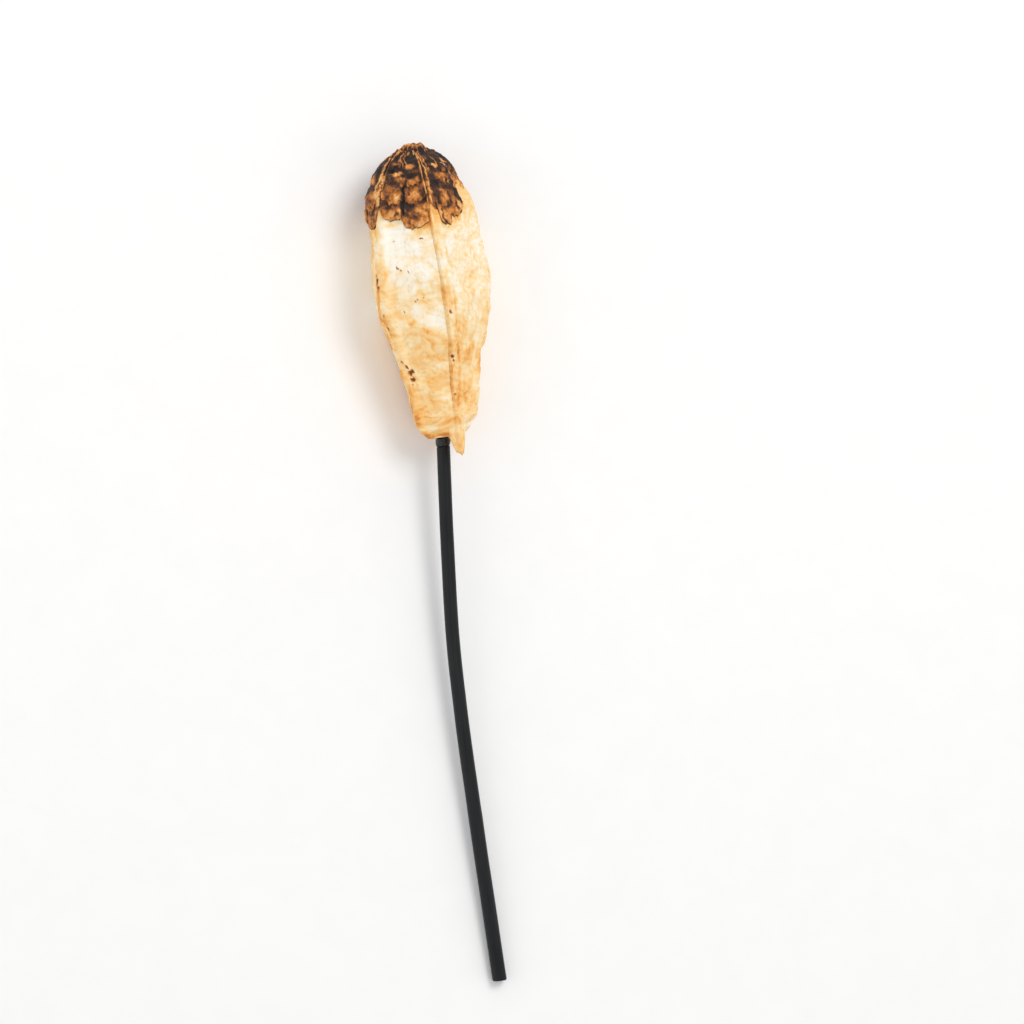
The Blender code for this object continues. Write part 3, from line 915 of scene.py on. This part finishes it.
# %% [markdown]
# ## From the net to the mesh
#
# The last lips of the crown hang free of the wood, and the base turns in to a drilled hole for the stick.
# Both are more rows of the same net, so the pod stays one closed skin without seams. The drum's points then
# move to their places in the net, and the finished pod takes the place of the solid one.

# %% Place the net in space
OVERHANG = 0.0006
TIP_NUB = 0.0008
TIP_SINK = 0.0006
RIM_UNDER = 0.0011
STICK_Y = np.array([-235.5, -166, -120, -88, -50, 0, 27]) / 1000
STICK_X = np.array([-3.8, -6.1, -7.2, -7.06, -4.97, -1.32, 0.67]) / 1000
PEG_RADIUS = 0.0026
GAP = 0.0003
HOLE_RADIUS = PEG_RADIUS + GAP
HOLE_DEPTH = 0.027
BASE_FLAT = 0.0062

surface = on_surface(angle, depth, bare + raised)
hang = OVERHANG * smooth_step((along - 0.7) / 0.3) * between * smooth_step((share - 0.2) / 0.3)
surface[CROWN, :, 1] -= hang * (1 - crest)
around_nub = smooth_step((share - 0.03) / 0.05) * (1 - smooth_step((share - 0.12) / 0.2))
surface[CROWN, :, 1] += tip_lumps - TIP_SINK * (1 - smooth_step(share / 0.3)) - TIP_NUB * around_nub


def stick_centre(y):
    """The stick's centre line at height y."""
    y = np.asarray(y, float)
    return np.stack([through(y, STICK_Y, STICK_X), y, np.zeros(y.shape)], axis=-1)


rim = surface[-1]
rim_angle = np.arctan2(rim[:, 0], rim[:, 2])
outward = np.stack([np.sin(rim_angle), np.zeros(COLUMNS), np.cos(rim_angle)], axis=-1)
mouth = stick_centre(0.0)
flat = mouth + BASE_FLAT * outward
inward = np.linspace(0, 1, UNDERSIDE_ROWS + 1)[1:, None, None]
underside = rim * (1 - inward) + flat * inward
underside[..., 1] += RIM_UNDER * np.sin(np.pi * inward[..., 0]) * smooth_step(-rim[:, 1] / 0.004 + 1)
hole = np.stack([mouth + HOLE_RADIUS * outward, stick_centre(HOLE_DEPTH) + HOLE_RADIUS * outward])
net = np.concatenate([surface, underside, hole])
print("the net has", net.shape[0], "rows")

# %% Lay the fine pod down
LYING_TURN = np.array(LYING.to_3x3())
LYING_MOVE = np.array(LYING.to_translation())


def lay_down(points):
    """Points of the pod's frame, where they lie on the table: nothing goes below it, or outside the
    solid model's box."""
    laid = points @ LYING_TURN.T + LYING_MOVE
    return np.clip(laid, np.array(cad_box[0]), np.array(cad_box[1]))


def add_piece(name, mesh, slot, *nodes):
    """Makes a piece that rides on the part's one body and stands for nodes of the solid model."""
    mesh.shade_smooth()
    made = bpy.data.objects.new(name, mesh)
    bpy.context.scene.collection.objects.link(made)
    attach(made, "root")
    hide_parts(*nodes)
    print(name, "has", sum(len(p.vertices) - 2 for p in mesh.polygons), "triangles")


pod_mesh = drum("pod_fine", COLUMNS, net.shape[0])
tip = lay_down(np.array([0, POD_LENGTH, 0]))
hole_end = lay_down(stick_centre(HOLE_DEPTH))
pod_row, pod_column = lay_over(pod_mesh, lay_down(net), tip, hole_end)
add_piece("pod_fine", pod_mesh, "pod", "pod")

# %% [markdown]
# ## Where the colours go
#
# Four masks say how the colours lie, as one number for each point of the pod. The crown's tone is black near
# the tip and pale on the lines, and it follows the relief with painted shade and highlight: black in the
# hollows, orange on the bulges and pale on the lips. The crown mask also paints a shadow under the lips. The
# body's stains are tan clouds and streaks that grow towards the base.

# %% Blur the relief to find hollows
HOLLOW_BLUR = 16
HOLLOW_SCALE = 0.00045


def blurred(values, times):
    """Each value averaged with its neighbours, again and again. Columns close round the pod."""
    for _ in range(times):
        up = np.vstack([values[:1], values[:-1]])
        down = np.vstack([values[1:], values[-1:]])
        values = (values * 2 + up + down) / 4
        values = (values * 2 + np.roll(values, 1, axis=1) + np.roll(values, -1, axis=1)) / 4
    return values


# The relief's height above its blur: the crown's tone turns it into painted shade in the hollows and painted
# highlights on the bulges.
proud = (raised - blurred(raised, HOLLOW_BLUR)) / HOLLOW_SCALE
proud = np.clip(proud, -1, 1)
print("the relief is proud by", round(float(proud.mean()), 3), "on average")

# %% Mark dark patches, partly painted shade, and light patches, partly painted highlights
# Dark patches: partly the crown's dark wood, and partly painted shade in the crack, under the lips and under
# the nub.
DARK_AND_SHADED = [
    (387, 158, 6, 7, 0.9, 30),
    (398, 158, 5, 6, 0.8, 0),
    (412, 159, 6, 8, 0.9, 0),
    (395, 172, 9, 3.5, 0.9, 0),
    (413, 176, 9, 3, 0.7, 0),
    (405.5, 175, 2.5, 4, 1.0, 0),
    (406.5, 187, 1.7, 3.4, 1.0, -20),
    (403.5, 201, 1.3, 3.4, 0.9, 0),
    (411, 207, 5, 2.2, 0.6, 0),
    (424, 198, 4, 7, 0.7, 0),
    (422, 180, 3, 6, 0.9, 0),
    (434, 184, 4, 10, 1.0, 8),
    (437, 195, 3.5, 6, 0.9, 0),
    (428, 153, 2.5, 8, 1.0, 50),
    (440, 167, 5, 5, 0.8, 0),
    (446, 170, 3, 6, 0.8, 20),
    (445, 188, 5, 4, 0.8, 0),
    (452, 190, 2.5, 8, 0.9, 25),
    (458, 200, 1.8, 5, 0.8, 30),
    (455.5, 207, 1.4, 4, 1.0, 0),
    (460, 211.5, 3, 1.4, 1.0, 0),
    (384, 206, 3, 4, 0.7, 0),
    (376.5, 209, 1.4, 2, 1.0, 0),
    (391, 210, 6, 2.5, 0.5, -30),
    (369, 203, 3, 7, 0.5, 0),
    (369, 224, 1.6, 5, 0.9, 0),
]
# Light patches: partly paler orange wood, and partly painted highlights on the lobes and the nub.
LIT_AND_PALE = [
    (397, 166, 5.5, 2, 0.7, 0),
    (410, 168, 5, 3.5, 0.75, 0),
    (398, 176.5, 7, 1.7, 0.85, 5),
    (391, 191, 7, 7, 0.60, 0),
    (413, 184, 5, 4, 0.66, 0),
    (417, 192, 5, 4, 0.62, -30),
    (412, 200, 6, 2.4, 0.70, -10),
    (421, 201, 3, 3, 0.60, 0),
    (394, 203, 4, 3, 0.75, 0),
    (400.5, 212, 2.5, 2.5, 0.90, 0),
    (420, 213, 8, 4, 0.75, 0),
    (420, 225, 8, 3, 0.72, 15),
    (405, 222, 5, 3, 0.65, -20),
    (394, 219, 6, 2, 0.70, -10),
    (383, 179, 2.0, 4, 1.0, -15),
    (434, 167, 3.0, 2.6, 0.95, 0),
    (443, 161, 4, 2.5, 0.85, -30),
    (450.5, 166, 1.4, 3.5, 0.9, 20),
    (455, 180, 2.5, 6, 0.72, 25),
    (441, 177, 5, 4, 0.70, 0),
    (446, 199, 5, 5, 0.75, 0),
    (449, 213, 6, 6, 0.70, 0),
    (459, 207, 2.5, 2.5, 0.75, 0),
]
PALE_LINES = [
    (0.85, 0.9, [(404, 148), (397, 152), (391, 158), (387, 165), (384, 173), (382, 180)]),
    (1.05, 1.5, [(382, 180), (378.5, 186), (376.5, 192), (377.5, 199), (379, 207)]),
    (1.00, 1.1, [(385, 179), (381.5, 188), (379.5, 197), (379.5, 205)]),
    (0.80, 0.8, [(405, 150), (402, 156), (400, 163)]),
    (0.90, 0.9, [(413, 149), (418, 157), (423, 165), (426.5, 174), (428.5, 184), (430.5, 195), (432, 206)]),
    (0.75, 0.7, [(416, 150), (421, 157), (425.5, 165), (428.5, 173)]),
    (0.80, 0.9, [(441, 163), (446, 168), (449, 175), (451.5, 183), (455, 190)]),
]
DARK_LINES = [
    (0.9, 1.3, [(431, 153), (436, 159), (442, 165), (447, 171), (449.5, 181)]),
    (0.9, 1.3, [(449.5, 181), (453, 190), (457, 198), (461, 205)]),
    (0.7, 0.8, [(441, 211), (443.5, 219), (447, 225)]),
    (0.7, 0.9, [(402.5, 212), (399, 216), (396, 220)]),
]
dark_lines = strokes(DARK_LINES)[CROWN]
dark_and_shaded_marks = marks(DARK_AND_SHADED)[CROWN]
lit_and_pale_marks = np.maximum(marks(LIT_AND_PALE), strokes(PALE_LINES))[CROWN]
print(len(DARK_AND_SHADED), "dark patches and", len(LIT_AND_PALE), "light ones")

# %% Tone the crown
BASE_TONE = 0.34
SCALE_SHADE_AND_HIGHLIGHT = 0.24
RELIEF_SHADE_AND_HIGHLIGHT = 0.20
PATCH_TONE = 0.30
SPECKLE_TONE = 0.14
CREST_TONE = 0.16
LINE_TONE = 0.38
NUB_TONE = 0.42
DARK_AND_SHADED_TONE = 0.10
DARK_LINE_TONE = 0.04
UNDER_LIP_TONE = 0.1
CRACK_DARK = 0.42
TIP_DARK = 0.31
PATCH_SIZE = 0.0055
SPECKLE_SIZE = 0.0013

tone = np.full(depth.shape, UNDER_LIP_TONE)
patches = noise_at(crown_skin, PATCH_SIZE, 2, 44.0)
speckle = noise_at(crown_skin, SPECKLE_SIZE, 2, 51.0)
soot = 1 - smooth_step((share - 0.22) / 0.40)
in_scale = smooth_step((along - 0.12) / 0.55)
# Painted shade and highlight: each scale is dark at its root, under the lip above it and between the lobes,
# and light towards its own lip. The relief also darkens the hollows and lightens the bulges.
crown_tone = BASE_TONE + SCALE_SHADE_AND_HIGHLIGHT * in_scale * between * lip_strength + RELIEF_SHADE_AND_HIGHLIGHT * proud[CROWN]
crown_tone += PATCH_TONE * patches + SPECKLE_TONE * speckle + CREST_TONE * crest
crown_tone -= TIP_DARK * soot * (1 - 0.8 * lines)
crown_tone += LINE_TONE * lines
nub = 1 - smooth_step((share - 0.03) / 0.05)
crown_tone += (NUB_TONE + 600 * tip_lumps - crown_tone) * nub * 0.85
crown_tone -= CRACK_DARK * crack_shade * (1 - nub)
# Dark wood and painted shade come from the dark patches. Below, pale wood and painted highlights come from
# the light patches, with the pale lines.
crown_tone += (DARK_AND_SHADED_TONE - crown_tone) * dark_and_shaded_marks * (1 - 0.75 * lines) * 0.9
crown_tone += (DARK_LINE_TONE - crown_tone) * dark_lines
crown_tone += (lit_and_pale_marks * 0.95 - crown_tone) * (lit_and_pale_marks > crown_tone) * smooth_step(lit_and_pale_marks / 0.3)
tone[CROWN] = np.clip(crown_tone, 0, 1)
print("the crown's tone is", round(float(tone[CROWN].mean()), 2), "on average")

# %% Mask the crown
UNDER_LIP_DARK = 0.00105
CREST_TAN = np.where((face == 0) & (across < 0), 0.0280, 0.0160)
CREST_BLUR = 0.009

below = depth - crown_edge
crown = np.zeros(depth.shape)
crest_end = depth[CROWN] - CREST_TAN + 0.006 * patches + 0.002 * speckle
crown[CROWN] = 1 - crest * smooth_step(crest_end / CREST_BLUR)
# Painted shadow under the lobes' lips: the crown mask reaches into the body rows just below the crown's
# edge, and those rows take the dark under-lip tone.
lip_shadow = bell(below[BODY], UNDER_LIP_DARK) * between[-1] * (1 - crest[-1])
crown[BODY] = np.clip(lip_shadow, 0, 1)
print("the crown covers", round(float(crown.mean()) * 100), "% of the net")

# %% [markdown]
# ## The stains of the body
#
# Sap and damp left tan clouds and a brown line along each rib. The darker edge at the base is painted shade
# on its underside, under a painted highlight along the rim. The stains that the photograph shows are placed
# one by one, like the pits. Clouds and streaks of noise fill in the rest, also on the far side, so that the
# pod is stained all round and no stain has a hard edge.

# %% Mark stains
STAINS = [
    (371, 250, 4, 26, 0.85, 0),
    (375, 297, 4, 18, 0.75, 0),
    (384, 335, 4, 16, 0.70, 20),
    (398, 372, 4, 16, 0.60, 20),
    (411, 408, 3, 20, 0.60, 10),
    (378, 236, 6, 16, 0.75, 0),
    (382, 262, 5, 22, 0.60, -5),
    (386, 276, 4, 10, 0.65, 0),
    (385, 305, 9, 14, 0.45, 0),
    (390, 228, 16, 4, 0.60, 0),
    (419, 235, 5, 7, 0.50, 0),
    (431, 228, 8, 10, 0.55, 0),
    (437, 246, 4, 14, 0.45, -8),
    (407, 318, 12, 5, 0.75, 8),
    (413, 324, 7, 3.5, 0.95, 10),
    (396, 326, 7, 5, 0.45, 0),
    (427, 323, 9, 7, 0.40, 0),
    (434, 347, 4, 9, 0.78, -10),
    (443, 356, 4, 6, 0.75, 0),
    (429, 366, 8, 5, 0.75, 0),
    (446, 379, 9, 8, 0.70, 0),
    (436, 341, 7, 8, 0.50, 0),
    (430, 401, 7, 7, 0.60, 0),
    (442, 408, 8, 9, 0.65, 0),
    (441, 429, 9, 4, 0.62, 0),
    (459.5, 436.5, 3, 1.2, 0.85, -25),
    (432, 425, 12, 6, 0.45, 0),
    (400, 345, 12, 8, 0.45, 0),
    (405, 290, 22, 12, 0.36, 10),
    (420, 345, 10, 14, 0.42, 0),
    (462, 345, 4, 26, 0.60, 5),
    (465, 300, 5, 18, 0.50, 12),
    (474, 330, 4, 16, 0.55, 20),
    (470, 300, 5, 22, 0.40, 12),
    (487, 352, 5, 9, 0.95, -20),
    (478, 372, 5, 12, 0.55, 0),
    (468, 362, 3, 10, 0.70, 10),
    (475, 395, 4, 12, 0.60, 0),
    (480, 410, 4, 8, 0.60, 0),
    (468, 420, 8, 12, 0.45, 0),
]
TAN_LINES = [
    (0.85, 3.4, [(371, 232), (372, 262), (375, 283), (379, 306), (383, 328), (389, 345)]),
    (0.95, 3.0, [(389, 345), (396, 362), (402, 378), (407, 396), (412, 412), (417, 428)]),
    (0.66, 2.6, [(434, 226), (437, 238), (440, 250), (444, 262)]),
    (0.62, 2.4, [(446, 272), (449, 290), (449.5, 310), (449, 330)]),
    (0.75, 2.6, [(441, 221), (447, 229), (453, 224), (458, 216), (464, 209)]),
]
stains = marks(STAINS)
tan_lines = strokes(TAN_LINES, wide_bend)
print(len(STAINS), "stains and", len(TAN_LINES), "stained lines")

# %% Stain the body
CLOUD_SIZE = 0.011
STREAK_SIZE = np.array([0.0013, 0.010, 0.0013])
STREAK_SLANT = 0.45
BASE_STAIN = 0.22
LOWER_STAIN = 0.34
CLOUD_STAIN = 0.32
CLEAR_RIGHT = 0.15
CREASE_DARKENING = 0.17
FAR_STAIN = 0.10
PALE_CORNER = 0.28
STREAK_STAIN = 0.20
RIB_STAIN = 0.12
RIB_STAIN_WIDTH = 0.0024
LIP_STAIN = 0.40
LIP_STAIN_WIDTH = 0.0030
GROOVE_SHADE = 0.22
STRIP_STAIN = 0.30
RIM_SHADE = 0.30
RIM_SHADE_START = 0.1255
RIM_SHADE_EASE = 0.0015
RIM_HIGHLIGHT = 0.25
RIM_HIGHLIGHT_PLACE = 0.1238
RIM_HIGHLIGHT_WIDTH = 0.0011
CREST_FADE = 0.020
CREST_STAIN = 0.82

clouds = noise_at(skin + CREASE_DRIFT * drift, CLOUD_SIZE, 3, 61.0)
slanted = skin + CREASE_DRIFT * drift
slanted[..., 0] -= STREAK_SLANT * slanted[..., 1]
streaks = noise_at(slanted, STREAK_SIZE, 3, 71.0)
lower = smooth_step((depth - 0.050) / 0.060)
far_side = smooth_step(-skin[..., 2] / 0.01)
right_face = smooth_step((skin[..., 0] - 0.006) / 0.012)
cloud_stain = CLOUD_STAIN - CLEAR_RIGHT * right_face * (1 - lower)
stain = BASE_STAIN + LOWER_STAIN * lower + cloud_stain * clouds
# Darker along the same creases that are cut into the relief.
stain += CREASE_DARKENING * creases + FAR_STAIN * far_side
stain += right_face * (0.05 - PALE_CORNER * smooth_step((depth - 0.085) / 0.030) + STREAK_STAIN * streaks)
stain += RIB_STAIN * smooth_step(1 - from_rib / RIB_STAIN_WIDTH) * (np.abs(clouds) + 0.3)
stain = np.maximum(stain, stains * (0.85 + 0.35 * clouds))
bare_crest = np.vstack([crest, np.repeat(crest[-1:], BODY_ROWS, axis=0)])
under_lobes = LIP_STAIN * bell(below, LIP_STAIN_WIDTH) * (depth > crown_edge)
stain += under_lobes * (0.7 + 0.6 * clouds) * (1 - bare_crest)
# Painted shade on the wall of the step beside each rib, strongest on the front face.
step_shade = STEP_SHARE[face] * bell(1 - across - STEP_PLACE + 0.02, 1.6 * STEP_WIDTH) * step_fade
stain += GROOVE_SHADE * step_shade * (below > 0)
stain += STRIP_STAIN * strip_line * np.clip(0.8 + clouds, 0.3, 1) * (below > 0)
stain = np.maximum(stain, tan_lines * (0.85 + 0.4 * clouds))
# Painted shade on the base's underside, and a painted highlight along the rim above it.
stain += RIM_SHADE * smooth_step((depth - RIM_SHADE_START) / RIM_SHADE_EASE)
stain -= RIM_HIGHLIGHT * bell(depth - RIM_HIGHLIGHT_PLACE, RIM_HIGHLIGHT_WIDTH)
stain += bare_crest * (CREST_STAIN - stain) * (1 - smooth_step((depth - CREST_TAN) / CREST_FADE))
stain = np.clip(stain, 0, 1)
print("the stain is", round(float(stain[BODY].mean()), 2), "on average")


# %% Write the masks on the pod
def add_mask(mesh, row, column, name, values, tail):
    """A point attribute from a net's values. The rows below the net's last one take the value tail."""
    padded = np.vstack([values, np.full((net.shape[0] - values.shape[0], COLUMNS), tail)])
    attribute = mesh.attributes.new(name, "FLOAT", "POINT")
    attribute.data.foreach_set("value", padded[row, column].astype(np.float32))


all_spots = np.clip(pits + spots, 0, 1)
for name, values, tail in (
    ("crown", crown, 0.0),
    ("tone", tone, 0.2),
    ("stain", stain, 0.55),
    ("spot", all_spots, 0.0),
):
    add_mask(pod_mesh, pod_row, pod_column, name, values, tail)
print("the pod carries", [mask.name for mask in pod_mesh.attributes if mask.data_type == "FLOAT"])

# %% [markdown]
# ## The pod's finish
#
# The core of the fruit is spongy, pale and matt. Fibres run down it, and it dried with fine wrinkles across.
# The masks choose the broad colours, and noise in the pod's own frame adds fibres, wrinkles and specks that
# are too fine for the mesh.

# %% Finish the pod
pod_finish = Finish("dried_fruit_core", roughness=0.85)
fibres = pod_finish.grain((1.0, 0.14, 1.0), 800.0, detail=4.0, drift=0.008)
wrinkle = pod_finish.grain(
    (0.30, 1.0, 0.30), 520.0, detail=5.0, roughness=0.6, distortion=0.8, drift=0.010
)
crumbs = pod_finish.grain((1.0, 1.0, 1.0), 1500.0, detail=3.0)
crown_mask = pod_finish.attribute("crown")
tone_mask = pod_finish.attribute("tone")
stain_mask = pod_finish.attribute("stain")
spot_mask = pod_finish.attribute("spot")

stain_level = stain_mask + (fibres - 0.5) * 0.20 + (wrinkle - 0.5) * 0.42
body_colour = pod_finish.ramp(
    stain_level,
    (0.00, paint(255, 252, 243)),
    (0.22, paint(255, 244, 223)),
    (0.48, paint(254, 222, 165)),
    (0.75, paint(249, 187, 104)),
    (1.00, paint(216, 132, 56)),
)
clods = pod_finish.grain((1.0, 0.7, 1.0), 520.0, detail=5.0, roughness=0.65)
crown_level = tone_mask + (crumbs - 0.5) * 0.40 + (clods - 0.5) * 0.45
crown_colour = pod_finish.ramp(
    crown_level,
    (0.05, paint(26, 15, 10)),
    (0.28, paint(68, 40, 25)),
    (0.46, paint(150, 86, 30)),
    (0.64, paint(212, 132, 50)),
    (0.90, paint(245, 196, 128)),
)
spot_depth = spot_mask + (crumbs - 0.5) * 0.25
faint_spot = spot_depth.between(0.22, 0.62) * (1 - crown_mask)
dark_spot = spot_depth.between(0.58, 0.92) * (1 - crown_mask)
colour = pod_finish.blend(crown_mask.between(0.25, 0.75), body_colour, crown_colour)
colour = pod_finish.blend(faint_spot, colour, paint(186, 118, 62))
colour = pod_finish.blend(dark_spot, colour, paint(108, 58, 28))

grain_height = wrinkle * (1 - crown_mask) * 0.6 + fibres * 0.35 + crumbs * (crown_mask * 0.9 + 0.15)
roughness = 0.92 - crown_mask * (0.22 + (tone_mask - 0.5) * 0.2)
pod_finish.finished(colour, roughness, pod_finish.bump(grain_height, distance=0.0005, strength=0.55))
pod_mesh.materials.append(pod_finish.material)
print("the pod's finish has", len(pod_finish.tree.nodes), "nodes")

# %% [markdown]
# ## The stick
#
# A florist's stick is a thin round rod, stained black, with a whittled peg on its top that goes up into the
# pod. It bows a little. A drum with many rings takes the bow, and small dents make it a piece of wood.

# %% Make the stick
STICK_TOP = 0.026
STICK_RADIUS = 0.0029
STICK_FOOT_RADIUS = 0.0031
PEG_POINT_RADIUS = 0.0014
PEG_POINT_LENGTH = 0.006
END_ROUNDING = 0.0008
BEAD_LENGTH = 0.0037
SHOULDER = -BEAD_LENGTH - GAP
STICK_SIDES = 48
STICK_ROWS = 260
STICK_DENT = 0.00007
STICK_DENT_SIZE = np.array([0.003, 0.02, 0.003])

foot = STICK_Y[0]
peg_y = [STICK_TOP, STICK_TOP - PEG_POINT_LENGTH, 0.0, SHOULDER + GAP / 3]
peg_radii = [PEG_POINT_RADIUS, PEG_RADIUS, PEG_RADIUS, PEG_RADIUS]
rod_y = np.linspace(SHOULDER, foot + END_ROUNDING, STICK_ROWS)
rod_radii = STICK_RADIUS + (STICK_FOOT_RADIUS - STICK_RADIUS) * rod_y / foot
turns = np.radians([18, 36, 54, 72, 90])
end_y = foot + END_ROUNDING * (1 - np.sin(turns))
end_radii = STICK_FOOT_RADIUS - END_ROUNDING * (1 - np.cos(turns))
stick_y = np.concatenate([peg_y, rod_y, end_y])
stick_radii = np.concatenate([peg_radii, rod_radii, end_radii])

round_stick = np.arange(STICK_SIDES) / STICK_SIDES * 2 * math.pi
stick_out = np.stack([np.sin(round_stick), np.zeros(STICK_SIDES), np.cos(round_stick)], axis=-1)
straight = stick_centre(stick_y)[:, None] + stick_radii[:, None, None] * stick_out
dents = noise_at(straight, STICK_DENT_SIZE, 2, 5.0)
on_rod = smooth_step((SHOULDER - stick_y) / 0.002) * smooth_step((stick_y - foot) / 0.004)
stick_net = straight + (STICK_DENT * dents * on_rod[:, None])[..., None] * stick_out

stick_mesh = drum("stick_fine", STICK_SIDES, len(stick_y))
stick_top = lay_down(stick_centre(STICK_TOP))
stick_foot = lay_down(stick_centre(foot))
lay_over(stick_mesh, lay_down(stick_net), stick_top, stick_foot)
add_piece("stick_fine", stick_mesh, "stick", "stick")

# %% [markdown]
# ## The stick's finish
#
# Black stain soaks into the wood and leaves its long grain to be seen. Noise stretched along the stick is
# that grain, in the colour, the gloss and a light bump.

# %% Finish the stick
stick_finish = Finish("black_stained_stick", roughness=0.5, specular=0.27)
long_grain = stick_finish.grain((1.0, 0.04, 1.0), 1400.0, detail=4.0)
wear = stick_finish.grain((1.0, 0.35, 1.0), 160.0, detail=4.0)
stick_colour = stick_finish.blend(
    (long_grain * 0.6 + wear * 0.5).between(0.3, 0.8), paint(6, 9, 12), paint(27, 28, 30)
)
stick_roughness = 0.38 + wear * 0.18
stick_bump = stick_finish.bump(long_grain, distance=0.0003, strength=0.45)
stick_finish.finished(stick_colour, stick_roughness, stick_bump)
stick_mesh.materials.append(stick_finish.material)
print("the stick's finish has", len(stick_finish.tree.nodes), "nodes")

# %% [markdown]
# ## The bead of glue
#
# A lump of black glue holds the pod on its peg. It is a ring: a small circle, spun once round the stick,
# then squared to fill the space between the base and the shoulder, and made lumpy on its outside.

# %% Make the bead
BEAD_RADIUS = 0.0033
BEAD_SIDES = 96
BEAD_PROFILE = 32
BEAD_LUMP = 0.00034
BEAD_LUMP_SIZE = 0.0021
SQUARENESS = 0.45
BEAD_TAPER = 0.0003

bm = bmesh.new()
profile = bmesh.ops.create_circle(bm, segments=BEAD_PROFILE, radius=0.5)["verts"]
bmesh.ops.translate(bm, verts=profile, vec=(2, 0, 0))
bmesh.ops.spin(
    bm, geom=profile + bm.edges[:], cent=(0, 0, 0), axis=(0, 1, 0), angle=2 * math.pi,
    steps=BEAD_SIDES, use_merge=True,
)
bmesh.ops.recalc_face_normals(bm, faces=bm.faces)
bead_mesh = bpy.data.meshes.new("glue_bead_fine")
bm.to_mesh(bead_mesh)
bm.free()

ring = read_points(bead_mesh)
ring_turn = np.arctan2(ring[:, 0], ring[:, 2])
beside = np.hypot(ring[:, 0], ring[:, 2]) - 2
swell = np.sign(beside) * np.abs(beside * 2) ** SQUARENESS
level = np.sign(ring[:, 1]) * np.abs(ring[:, 1] * 2) ** SQUARENESS
ring_out = np.stack([np.sin(ring_turn), np.zeros(len(ring)), np.cos(ring_turn)], axis=1)
bead_y = -GAP - (BEAD_LENGTH - GAP) * (1 - level) / 2
reach = HOLE_RADIUS + (BEAD_RADIUS - HOLE_RADIUS) * (swell + 1) / 2
placed = stick_centre(bead_y) + reach[:, None] * ring_out
taper = BEAD_TAPER * smooth_step((1 - level) / 2) * (swell + 1) / 2
placed = placed - taper[:, None] * ring_out
lumps = noise_at(placed, BEAD_LUMP_SIZE, 2, 9.0) * smooth_step(swell)
placed = placed + (BEAD_LUMP * lumps)[:, None] * ring_out
bead_mesh.vertices.foreach_set("co", lay_down(placed).ravel())
bead_mesh.update()
add_piece("glue_bead_fine", bead_mesh, "glue", "glue_bead")

# %% Finish the bead
bead_finish = Finish("black_glue", roughness=0.14)
specks_and_glints = bead_finish.grain((1, 1, 1), 1800.0, detail=2.0)
# Painted glints: the bluish specks in the glue's colour. The same noise also bumps the glue and makes it
# rougher.
glue_colour = bead_finish.blend(specks_and_glints.between(0.62, 0.74), paint(14, 15, 17), paint(70, 84, 92))
glue_bump = bead_finish.bump(specks_and_glints, distance=0.0004, strength=0.6)
bead_finish.finished(glue_colour, 0.10 + specks_and_glints * 0.18, glue_bump)
bead_mesh.materials.append(bead_finish.material)
print("the bead's finish has", len(bead_finish.tree.nodes), "nodes")

# %% [markdown]
# ## The last look
#
# The fine pieces have to fill the same box as the solid model, or the part would be one size to the eye and
# another to the hand. The solid model's box is printed.

# %% Print the solid model's box
print("the solid model:", [round(c * 1000, 2) for corner in cad_box for c in corner])
